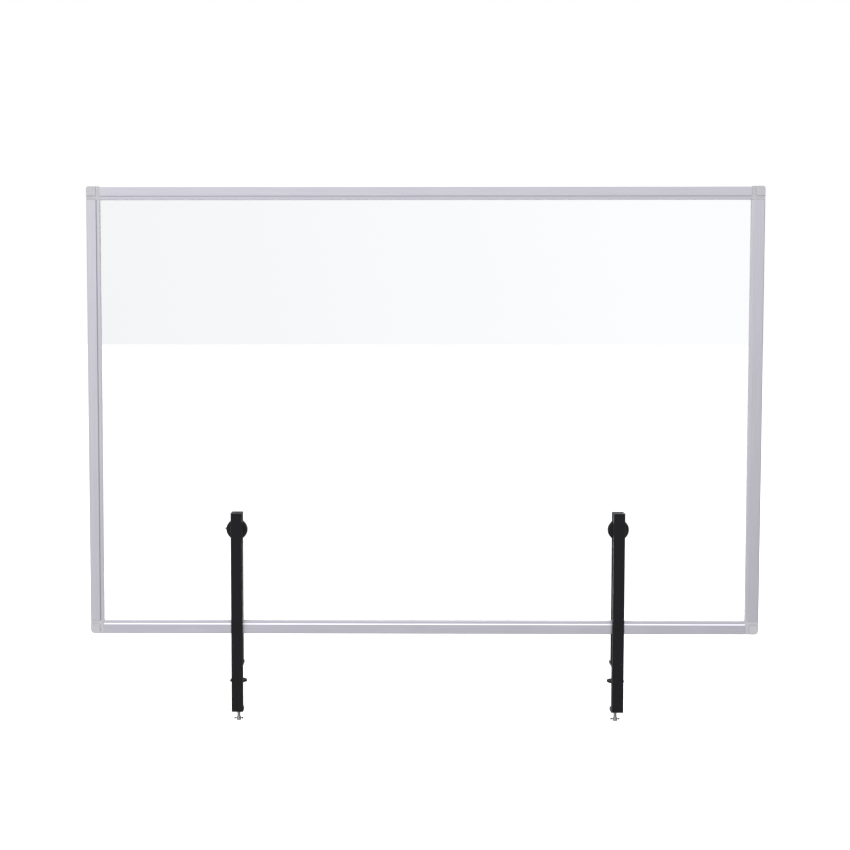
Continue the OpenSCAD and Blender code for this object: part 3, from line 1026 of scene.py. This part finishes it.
    def pane(self) -> None:
        """The clear pane, its edges ground to a small arris."""
        low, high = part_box("glass_pane")
        pane = block("clear_pane", low, high, self.arris, 1)
        pane.visible_shadow = False
        fit(pane, "clear_glass", self.body, "glass_pane")

    def gasket(self) -> None:
        """The glazing channel round the pane's edge, with a soft lip that shows past the rails."""
        low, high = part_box("glazing_gasket")
        pane_low, pane_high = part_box("glass_pane")
        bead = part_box("frame_left")[1].x
        out = pane_low.x - low.x
        reach = bead - pane_low.x + self.gasket_out
        half, seal = pane_high.y, high.y
        soft = 0.2 * MM
        profile = rounded(
            [
                (-reach, -half, soft / 2),
                (-reach, -seal, soft),
                (out, -seal, soft),
                (out, seal, soft),
                (-reach, seal, soft),
                (-reach, half, soft / 2),
                (0, half, 0),
                (0, -half, 0),
            ],
            3,
        )
        size = pane_high - pane_low
        ring = framed("glazing_channel", size.x, size.z, profile)
        place(ring, (pane_low + pane_high) / 2)
        fit(ring, "grey_rubber", self.body, "glazing_gasket")


# ---------------------------------------------------------------- clamps


@dataclass
class Clamp:
    """One desk clamp: the uprights on either side of the pane and the C that holds the desk."""

    side: Side
    bar_edge: float = 0.35 * MM
    tube_edge: float = 1.5 * MM
    tube_wall: float = 1.5 * MM
    bore_edge: float = 0.4 * MM
    mouth_edge: float = 0.15 * MM
    bush_hole: float = 5.05 * MM
    spine_hole: float = 1.55 * MM
    plug_edge: float = 0.3 * MM
    head: float = 2.6 * MM
    shank: float = 1.5 * MM
    head_high: float = 1.7 * MM
    screw_length: float = 10 * MM
    socket: float = 1.0 * MM
    socket_deep: float = 1.3 * MM
    strip_inset: float = 8 * MM
    rib_pitch: float = 3 * MM
    rib_deep: float = 0.4 * MM
    felt_thick: float = 0.6 * MM
    felt_edge: float = 0.18 * MM
    bush_bore: float = 2.95 * MM
    flange_wide: float = 2 * MM
    flange_thick: float = 2 * MM

    def node(self, name: str) -> str:
        """The full name of one of this clamp's nodes."""
        return self.side.value + name

    def box(self, name: str) -> tuple[Vector, Vector]:
        """The box of one of this clamp's nodes."""
        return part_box(self.node(name))

    def middle(self, name: str) -> Vector:
        """The middle of one of this clamp's nodes."""
        return middle(self.node(name))

    def girth(self, name: str) -> tuple[float, float]:
        """Radius and height of one of this clamp's round upright nodes."""
        low, high = self.box(name)
        return (high.x - low.x) / 2, high.z - low.z

    def stand(self, piece: bpy.types.Object, name: str) -> bpy.types.Object:
        """Stands a piece on the bottom of its node, on the node's own axis."""
        centre = self.middle(name)
        return place(piece, Vector((centre.x, centre.y, self.box(name)[0].z)))

    def add(self, piece: bpy.types.Object, finish: str, name: str, body: str = "clamp") -> None:
        """Fits a finished piece in place of one of this clamp's nodes."""
        fit(piece, finish, self.side.value + body, self.node(name))

    def build(self) -> None:
        """Builds and dresses every fixed piece of the clamp."""
        for name in ("front_upright", "rear_upright"):
            self.tube(name)
        for name in ("spine", "upper_jaw", "lower_arm"):
            self.add(eased(self.node(name), self.node(name + "_bar"), self.bar_edge), "black_coat", name)
        plugs = eased(self.node("end_caps"), self.node("end_plugs"), self.plug_edge)
        self.add(plugs, "black_plastic", "end_caps")
        self.felt()
        self.jaw_rubber()
        self.fixing_screws()
        self.bush()
        for name in ("nut_strip", "upright_foot"):
            dress(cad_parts[self.node(name)], "zinc_steel")

    def tube(self, name: str) -> None:
        """A rectangular tube with rounded corners, drilled where its node is.

        Args:
            name: The upright's node, without its side.
        """
        low, high = self.box(name)
        size = high - low
        half_w, half_d = size.x / 2, size.y / 2
        corners = [(-half_w, -half_d), (half_w, -half_d), (half_w, half_d), (-half_w, half_d)]
        tube = drawn(self.node(name + "_tube"), rounded([(*c, self.tube_edge) for c in corners], 6), size.z)
        bore = Vector((half_w - self.tube_wall, half_d - self.tube_wall, 0))
        room = Vector((0, 0, MM))
        cut(tube, block("bore", -bore - room, bore + room + Vector((0, 0, size.z)), self.bore_edge))
        self.stand(tube, name)
        if name == "rear_upright":
            bush = self.middle("grip_bush")
            drill(tube, self.bush_hole, 20 * MM, Vector((bush.x, 0, bush.z)), Lie.BACK, 48)
        else:
            for spot in self.spine_screws():
                drill(tube, self.spine_hole, 10 * MM, Vector((spot.x, -10 * MM, spot.z)), Lie.BACK)
        self.add(ease_edges(tube, self.mouth_edge), "black_coat", name)

    def spine_screws(self) -> list[Vector]:
        """Finds the two screws in the spine's rear face.

        Returns:
            Where each goes in, across and up.
        """
        low, high = self.box("nut_strip")
        x = (low.x + high.x) / 2
        return [Vector((x, 0, z)) for z in (low.z + self.strip_inset, high.z - self.strip_inset)]

    def fixing_screws(self) -> None:
        """Five countersunk screws with hexagon sockets and plain turned shanks."""
        rim, head = 0.15 * MM, self.head
        cone = [(self.shank, self.head_high), (head - rim / 2, rim), (head, rim), (head - rim, 0)]
        tip = [(self.shank * 0.6, self.screw_length), (self.shank, self.screw_length - 0.6 * MM)]
        first = turned("screw", list(reversed([*tip, *cone])), 36)
        drill(first, self.socket, self.socket_deep + MM, Vector((0, 0, -MM)), segments=6)
        jaw_low, jaw_high = self.box("upper_jaw")
        arm_low = self.box("lower_arm")[0]
        foot = self.middle("upright_foot")
        mid = Vector((foot.x, self.box("spine")[0].y / 2, 0))
        spots = [(spot, Lie.FORWARD) for spot in self.spine_screws()]
        spots.append((mid + Vector((0, 0, jaw_high.z)), Lie.DOWN))
        spots.append((mid + Vector((0, 0, arm_low.z)), Lie.UP))
        spots.append((Vector((foot.x, foot.y, jaw_low.z)), Lie.UP))
        screws = [place(copied(first), where, lie) for where, lie in spots]
        bpy.data.objects.remove(first)
        self.add(smooth(joined(self.node("fixing_screw_set"), screws)), "zinc_steel", "fixing_screws")

    def felt(self) -> None:
        """Two felt strips with soft edges."""
        low, high = self.box("felt_strips")
        strips = []
        for y in (low.y, high.y - self.felt_thick):
            far = Vector((high.x, y + self.felt_thick, high.z))
            strips.append(block("felt", Vector((low.x, y, low.z)), far, self.felt_edge))
        self.add(joined(self.node("felt_guards"), strips), "black_felt", "felt_strips")

    def jaw_rubber(self) -> None:
        """The rubber under the upper jaw, with ribs across it."""
        low, high = self.box("jaw_pad")
        size = high - low
        soft = 0.15 * MM
        outline = [(0, 0, soft)]
        count = int((size.y - 2 * MM) / self.rib_pitch)
        start = (size.y - (count - 1) * self.rib_pitch) / 2
        half = 0.5 * MM
        for k in range(count):
            at = start + k * self.rib_pitch
            outline += [(at - half, 0, soft), (at - half / 2, self.rib_deep, 0)]
            outline += [(at + half / 2, self.rib_deep, 0), (at + half, 0, soft)]
        outline += [(size.y, 0, soft), (size.y, size.z, soft), (0, size.z, soft)]
        pad = drawn(self.node("jaw_rubber"), rounded(outline, 2), size.x)
        # The outline's depth runs across X and its height along Y, and the rubber is pulled along Z
        lay(pad, Matrix(((0, 0, 1, low.x), (1, 0, 0, low.y), (0, 1, 0, low.z), (0, 0, 0, 1))))
        self.add(pad, "black_rubber", "jaw_pad")

    def bush(self) -> None:
        """The flanged bush that the clamp screw turns in."""
        flange, top = self.girth("clamp_bush")
        barrel, bore = flange - self.flange_wide, self.bush_bore
        thick = self.flange_thick
        neck = self.box("lower_arm")[0].z - self.box("clamp_bush")[0].z - thick
        ease = 0.4 * MM
        corners = [
            (bore, 0, ease / 2),
            (barrel, 0, ease),
            (barrel, neck, ease / 2),
            (flange, neck, ease),
            (flange, neck + thick, ease / 2),
            (barrel, neck + thick, 0),
            (barrel, top, ease / 2),
            (bore, top, ease / 2),
        ]
        bush = turned(self.node("threaded_bush"), rounded(corners, 3), 64, bored=True)
        self.add(self.stand(bush, "clamp_bush"), "zinc_steel", "clamp_bush")


@dataclass
class DeskScrew(Clamp):
    """The screw under the desk with its swivel pad and its short cross bar."""

    pitch: float = 1 * MM
    thread_deep: float = 0.45 * MM
    ball: float = 4 * MM
    ball_gap: float = 0.05 * MM
    screw_head: float = 3.6 * MM
    screw_body: float = 2.9 * MM
    screw_neck: float = 2.5 * MM
    neck_drop: float = 1.5 * MM
    collar: float = 1.2 * MM
    eye: float = 1.15 * MM
    pad_thick: float = 1.5 * MM
    pad_mouth: float = 3.2 * MM
    pad_foot: float = 6 * MM
    cap_long: float = 2.2 * MM
    cap_dome: float = 0.7 * MM

    def build(self) -> None:
        """Builds and dresses the screw, the pad and the cross bar."""
        self.screw()
        self.pad()
        self.pad_rubber()
        self.cross_bar()

    def screw(self) -> None:
        """The clamp screw: ball, neck, thread and a drilled head."""
        start = self.box("clamp_screw")[0].z
        top = self.girth("clamp_screw")[1]
        bar = self.middle("tommy_bar").z - start
        neck_low = self.box("swivel_pad")[0].z - self.neck_drop - start
        head, body, neck = self.screw_head, self.screw_body, self.screw_neck
        head_top, collar = 2 * bar, self.collar
        ease = 0.4 * MM
        neck_angle = -math.degrees(math.acos(neck / self.ball))
        core = body - self.thread_deep
        lower = [(head - 2 * ease, 0), (head - ease / 2, ease / 2), (head, ease * 1.5)]
        lower += [(head, head_top - ease), (head - ease, head_top)]
        lower += [(core, head_top + ease), (core, head_top + collar)]
        shank = turned("shank", lower, 64)
        helix = place(
            thread("helix", body, self.pitch, self.thread_deep, neck_low - head_top - collar),
            Vector((0, 0, head_top + collar / 2)),
        )
        upper = [(core, neck_low - collar), (body - ease, neck_low - ease), (neck, neck_low)]
        upper += ball_points(self.ball, top - self.ball, neck_angle, 84)
        tip = turned("tip", upper, 64)
        drill(shank, self.eye, 4 * head, Vector((-2 * head, 0, bar)), Lie.ALONG)
        screw = smooth(joined(self.node("threaded_screw"), [shank, helix, tip]))
        self.add(self.stand(screw, "clamp_screw"), "bright_steel", "clamp_screw", "screw")

    def pad(self) -> None:
        """The swivel pad: a dished plate with a rolled rim and a pressed socket round the ball."""
        rim, top = self.girth("swivel_pad")
        under = top - self.pad_thick
        foot, mouth = self.pad_foot, self.pad_mouth
        outside = rounded(
            [
                (mouth, 0, 0.2 * MM),
                (foot, 0, 0.5 * MM),
                (foot, 0.9 * MM, 0.2 * MM),
                (foot - 0.4 * MM, 1.3 * MM, 0.3 * MM),
                (8.2 * MM, under - 0.7 * MM, 1.2 * MM),
                (rim - 0.2 * MM, under - 0.2 * MM, 0.5 * MM),
                (rim, top - 0.3 * MM, 0.3 * MM),
                (rim - 0.9 * MM, top, 0.2 * MM),
                (mouth * 0.5, top, 0),
                (mouth * 0.5, top - 0.4 * MM, 0),
            ],
            4,
        )
        reach = self.ball + self.ball_gap
        low_angle = -math.degrees(math.acos(mouth / reach))
        cavity = ball_points(reach, under - self.ball, 66, low_angle)
        pad = turned(self.node("pad_plate"), [*outside, *cavity], 80, bored=True)
        self.add(self.stand(pad, "swivel_pad"), "black_coat", "swivel_pad", "pad")

    def pad_rubber(self) -> None:
        """The pad's rubber face, with rings moulded in it."""
        rim, top = self.girth("pad_rubber")
        profile = [(rim - 0.2 * MM, 0), (rim, 0.2 * MM), (rim, top - 0.35 * MM), (rim - 0.3 * MM, top)]
        profile += grooves((10.5 * MM, 7.5 * MM, 4.5 * MM), top, 0.4 * MM)
        rubber = turned(self.node("pad_face"), profile, 80)
        self.add(self.stand(rubber, "pad_rubber"), "black_rubber", "pad_rubber", "pad")

    def cross_bar(self) -> None:
        """The short bar through the screw's head, and the moulded cap on each of its ends."""
        low, high = self.box("tommy_bar")
        half, radius = (high.x - low.x) / 2, (high.z - low.z) / 2
        ease = 0.25 * MM
        rod = [(radius - ease, -half), (radius, ease - half), (radius, half - ease), (radius - ease, half)]
        bar = place(turned(self.node("cross_bar"), rod, 40), self.middle("tommy_bar"), Lie.ALONG)
        self.add(bar, "bright_steel", "tommy_bar", "tommy")
        cap_low, cap_high = self.box("tommy_caps")
        out, long, dome = (cap_high.z - cap_low.z) / 2, self.cap_long, self.cap_dome
        profile = [(radius * 0.7, 0), (out - ease, 0), (out, ease), (out, long - dome)]
        profile += [(out - dome + wide, height) for wide, height in ball_points(dome, long - dome, 15, 75, 4)]
        centre = self.middle("tommy_caps")
        reach = (cap_high.x - cap_low.x) / 2 - long
        caps = []
        for turn in (0.0, math.pi):
            cap = place(turned("cap", profile, 40), Vector((reach, 0, 0)), Lie.ALONG)
            caps.append(place(cap, centre, Lie.UP, turn))
        both = joined(self.node("cross_bar_caps"), caps)
        self.add(both, "black_plastic", "tommy_caps", "tommy")


@dataclass
class PaneGrip(Clamp):
    """The two discs that grip the pane, and the knob that presses them together."""

    lobes: int = 6
    lobe_dip: float = 0.17
    lobe_power: float = 1.6
    knob_points: int = 120
    knob_soft: float = 1.4 * MM
    dish: float = 6 * MM
    hub: float = 6 * MM
    hub_rise: float = 0.35 * MM
    tip: float = 2 * MM
    tip_long: float = 1.1 * MM
    tip_room: float = 0.05 * MM
    tip_deep: float = 0.85 * MM
    bush_bore: float = 3.05 * MM
    flange_thick: float = 1 * MM
    thread_deep: float = 0.4 * MM
    pitch: float = 1 * MM

    def build(self) -> None:
        """Builds and dresses the discs, the bush, the screw and the knob."""
        self.front_disc()
        self.press_plate()
        self.press_rubber()
        self.grip_bush()
        self.grip_screw()
        self.knob()

    def girth(self, name: str) -> tuple[float, float]:
        """Radius and depth of one of the round nodes that lie backwards."""
        low, high = self.box(name)
        return (high.x - low.x) / 2, high.y - low.y

    def back(self, piece: bpy.types.Object, name: str) -> bpy.types.Object:
        """Lays a turned piece backwards from its node's front face, on the node's own axis."""
        centre = self.middle("grip_screw")
        return place(piece, Vector((centre.x, self.box(name)[0].y, centre.z)), Lie.BACK)

    def front_disc(self) -> None:
        """The fixed rubber disc in front of the pane, with a soft rim and rings on its gripping face."""
        rim, deep = self.girth("front_disc")
        soft = 0.3 * MM
        profile = rounded([(self.dish, 0, 0), (rim - 1.6 * MM, 0, soft), (rim - 1.1 * MM, 0.5 * MM, soft)], 3)
        profile += [(rim - 0.5 * MM, 0.62 * MM), (rim - 0.12 * MM, 0.95 * MM), (rim, 1.4 * MM)]
        profile += [(rim, deep - 0.6 * MM), (rim - 0.5 * MM, deep)]
        profile += grooves((13 * MM, 10 * MM, 7 * MM), deep, 0.35 * MM)
        disc = turned(self.node("front_grip_disc"), profile, 96)
        self.add(self.back(disc, "front_disc"), "black_rubber", "front_disc")

    def press_plate(self) -> None:
        """The plate behind the pressing disc, with a raised boss for the screw's tip."""
        rim, deep = self.girth("press_plate")
        room, floor = self.tip + self.tip_room, deep - self.tip_deep
        corners = [
            (self.hub, 0, 0),
            (rim, 0, 0.2 * MM),
            (rim, deep - 0.5 * MM, 0.3 * MM),
            (self.hub + MM, deep - self.hub_rise, 0.5 * MM),
            (self.hub, deep, 0.2 * MM),
            (room, deep, 0.1 * MM),
            (room, floor, 0),
            (0.5 * MM, floor, 0),
        ]
        plate = turned(self.node("press_disc_plate"), rounded(corners, 3), 96)
        self.add(self.back(plate, "press_plate"), "black_coat", "press_plate", "press")

    def press_rubber(self) -> None:
        """The pressing disc's rubber face, with the small pull tab on its rim."""
        rubber = eased(self.node("press_rubber"), self.node("press_disc_rubber"), 0.3 * MM, 3)
        self.add(rubber, "black_rubber", "press_rubber", "press")

    def grip_bush(self) -> None:
        """The flanged bush through the rear upright."""
        flange, deep = self.girth("grip_bush")
        barrel, bore, thick = flange - self.flange_wide, self.bush_bore, self.flange_thick
        ease = 0.3 * MM
        corners = [
            (bore, 0, 0.1 * MM),
            (barrel, 0, 0.1 * MM),
            (barrel, deep - thick, 0),
            (flange, deep - thick, 0.1 * MM),
            (flange, deep, ease),
            (bore, deep, 0.1 * MM),
        ]
        bush = turned(self.node("flanged_grip_bush"), rounded(corners, 3), 64, bored=True)
        self.add(self.back(bush, "grip_bush"), "zinc_steel", "grip_bush")

    def grip_screw(self) -> None:
        """The screw that presses the disc, threaded up to the knob."""
        radius, deep = self.girth("grip_screw")
        tip, tip_long, wall = self.tip, self.tip_long, self.thread_deep
        core = radius - wall
        ease = 0.3 * MM
        point = [(tip - ease, 0), (tip, ease), (tip, tip_long), (core, tip_long + wall)]
        start = turned("tip", point, 48)
        helix = thread("helix", radius, self.pitch, wall, deep - tip_long - 8 * MM)
        place(helix, Vector((0, 0, tip_long + 0.2 * MM)))
        rest = turned("rest", [(core, deep - 10 * MM), (radius, deep - 9.5 * MM), (radius, deep)], 48)
        screw = joined(self.node("threaded_grip_screw"), [start, helix, rest])
        self.add(self.back(smooth(screw), "grip_screw"), "bright_steel", "grip_screw", "grip")

    def knob(self) -> None:
        """The lobed knob: a waisted skirt, softly rounded lobes and a dished face with a raised ring."""
        low, high = self.box("grip_knob")
        wide, deep = self.girth("grip_knob")
        outer = max(wide, (high.z - low.z) / 2)
        deselect_all()
        bpy.ops.mesh.primitive_circle_add(vertices=self.knob_points, radius=outer, fill_type="NGON")
        knob = named(self.node("lobed_knob"))
        for vertex in knob.data.vertices:
            angle = math.atan2(vertex.co.y, vertex.co.x)
            dip = 0.5 - 0.5 * math.cos(self.lobes * angle)
            vertex.co *= 1 - self.lobe_dip * dip**self.lobe_power
        edit_all()
        soft = self.knob_soft
        rings = [(0.62, 0.0), (0.80, 0.0), (0.88, 0.3 * MM), (0.94, 1.0 * MM), (0.96, 1.8 * MM)]
        rings += [(1.0, 2.6 * MM), (1.0, deep - soft)]
        brow = ball_points(soft, deep - soft, 18, 90, 4)
        rings += [(1 - (soft - out) / outer, height) for out, height in brow]
        rings += [(0.70, deep), (0.66, deep - 0.25 * MM), (0.60, deep - 0.8 * MM), (0.42, deep - 0.9 * MM)]
        rings += [(0.36, deep - 0.4 * MM), (0.33, deep - 0.15 * MM), (0.24, deep - 0.1 * MM)]
        bpy.ops.transform.resize(value=(rings[0][0], rings[0][0], 1))
        pull_rings(rings)
        face_outwards(knob)
        smooth(knob)
        centre = self.middle("grip_screw")
        place(knob, Vector((centre.x, low.y, centre.z)), Lie.BACK)
        self.add(knob, "black_plastic", "grip_knob", "grip")


# ---------------------------------------------------------------- studio


@dataclass
class Studio:
    """A plain white floor, soft light and the camera."""

    eye: Vector = field(default_factory=lambda: Vector((-0.0644, -2.6045, 0.5632)))
    pitch: float = -3.970
    yaw: float = 0.625
    roll: float = -0.003
    lens: float = 70.72
    shift_x: float = 0.0706
    shift_y: float = 0.0
    floor_drop: float = 40 * MM
    floor_size: float = 60.0
    levels: tuple[Point, ...] = (
        (-1.0, 0.50),
        (-0.45, 0.54),
        (-0.22, 0.50),
        (-0.05, 0.70),
        (0.07, 0.78),
        (0.40, 0.95),
        (0.75, 1.60),
        (1.0, 1.70),
    )

    def build(self) -> None:
        """Sets up the camera, the floor, the light and the way tones are shown."""
        self.camera()
        self.floor()
        self.sky()
        self.lamps()
        bpy.context.scene.view_settings.view_transform = "Standard"
        bpy.context.scene.view_settings.look = "None"

    def camera(self) -> None:
        """A long lens a little above the middle of the panel."""
        data = bpy.data.cameras.new("camera")
        data.lens, data.shift_x, data.shift_y = self.lens, self.shift_x, self.shift_y
        camera = bpy.data.objects.new("camera", data)
        bpy.context.scene.collection.objects.link(camera)
        turn = Matrix.Identity(4)
        for degrees, axis in ((self.yaw, "Z"), (self.pitch, "X"), (self.roll, "Y"), (90, "X")):
            turn = turn @ Matrix.Rotation(math.radians(degrees), 4, axis)
        camera.matrix_world = Matrix.Translation(self.eye) @ turn
        bpy.context.scene.camera = camera

    def floor(self) -> None:
        """A wide matt floor, low enough for the desk screws at the bottom of their travel."""
        deselect_all()
        height = CAD_BOX[0].z - self.floor_drop
        bpy.ops.mesh.primitive_plane_add(size=self.floor_size, location=(0, 0, height))
        floor = named("studio_floor")
        material = bpy.data.materials.new("studio_floor")
        material.use_nodes = True
        sheet = Sheet(material.node_tree)
        surface = material.node_tree.nodes["Principled BSDF"]
        spot = sheet.add("TexCoord").outputs["Object"]
        cloud = sheet.add("TexNoise", {"Vector": spot, "Scale": 2.0}).outputs["Fac"]
        rough = sheet.stretch(cloud, 0.0, 1.0, 0.9, 1.0)
        material.node_tree.links.new(rough, surface.inputs["Roughness"])
        surface.inputs["Base Color"].default_value = rgba((0.9, 0.9, 0.9))
        surface.inputs["Emission Color"].default_value = rgba((1.0, 1.0, 1.0))
        surface.inputs["Emission Strength"].default_value = 0.06
        surface.inputs["Specular IOR Level"].default_value = 0.0
        floor.data.materials.append(material)
        floor.visible_glossy = False

    def sky(self) -> None:
        """Even white light that falls off towards the ground, and plain white where the camera sees it."""
        world = bpy.data.worlds.new("studio")
        bpy.context.scene.world = world
        world.use_nodes = True
        sheet = Sheet(world.node_tree)
        background = world.node_tree.nodes["Background"]
        way = sheet.add("TexCoord").outputs["Generated"]
        parts = sheet.add("SeparateXYZ", {"Vector": way})
        ramp = sheet.add("ValToRGB", {"Fac": sheet.stretch(parts.outputs["Z"], -1.0, 1.0, 0.0, 1.0)})
        stops = ramp.color_ramp.elements
        for height, _ in self.levels[1:-1]:
            stops.new((height + 1) / 2)
        # The ramp holds half of each level, and the flags double it again where they don't shade
        for stop, (height, level) in zip(stops, self.levels, strict=True):
            stop.position = (height + 1) / 2
            stop.color = rgba((level / 2,) * 3)
        aside = sheet.math("ABSOLUTE", parts.outputs["X"])
        flags = sheet.stretch(aside, 0.35, 0.85, 2.0, 1.2)
        lean = sheet.stretch(parts.outputs["X"], -1.0, 1.0, 1.35, 0.65)
        level = sheet.math("MULTIPLY", ramp.outputs[0], sheet.math("MULTIPLY", flags, lean))
        path = sheet.add("LightPath").outputs
        through = sheet.stretch(parts.outputs["X"], -0.2, 0.15, 0.95, 1.03)
        seen = sheet.add("Mix", {"Factor": path["Is Transmission Ray"], "A": level, "B": through})
        total = sheet.add("Mix", {"Factor": path["Is Camera Ray"], "A": seen.outputs[0], "B": 1.0})
        world.node_tree.links.new(total.outputs[0], background.inputs["Strength"])
        background.inputs["Color"].default_value = rgba((1.0, 1.0, 1.0))

    def lamps(self) -> None:
        """Large soft lamps: one high on the left, one fainter on the right, one overhead."""
        for name, where, size, power in (
            ("key", (-1.8, -2.2, 2.4), 2.0, 60.0),
            ("fill", (2.4, -2.0, 1.2), 2.0, 16.0),
            ("overhead", (0.0, 0.3, 3.0), 3.0, 60.0),
        ):
            data = bpy.data.lights.new(name, "AREA")
            data.size, data.energy = size, power
            lamp = bpy.data.objects.new(name, data)
            bpy.context.scene.collection.objects.link(lamp)
            aim = Vector((0, 0, 0.35)) - Vector(where)
            lamp.visible_glossy = False
            lamp.matrix_world = Matrix.Translation(where) @ aim.to_track_quat("-Z", "Y").to_matrix().to_4x4()


def main() -> None:
    """Builds the studio, the panel and both clamps."""
    logging.basicConfig(level=logging.INFO, format="%(name)s: %(message)s")
    Studio().build()
    FramedPanel().build()
    for side in Side:
        Clamp(side).build()
        DeskScrew(side).build()
        PaneGrip(side).build()


if __name__ == "__main__":
    main()
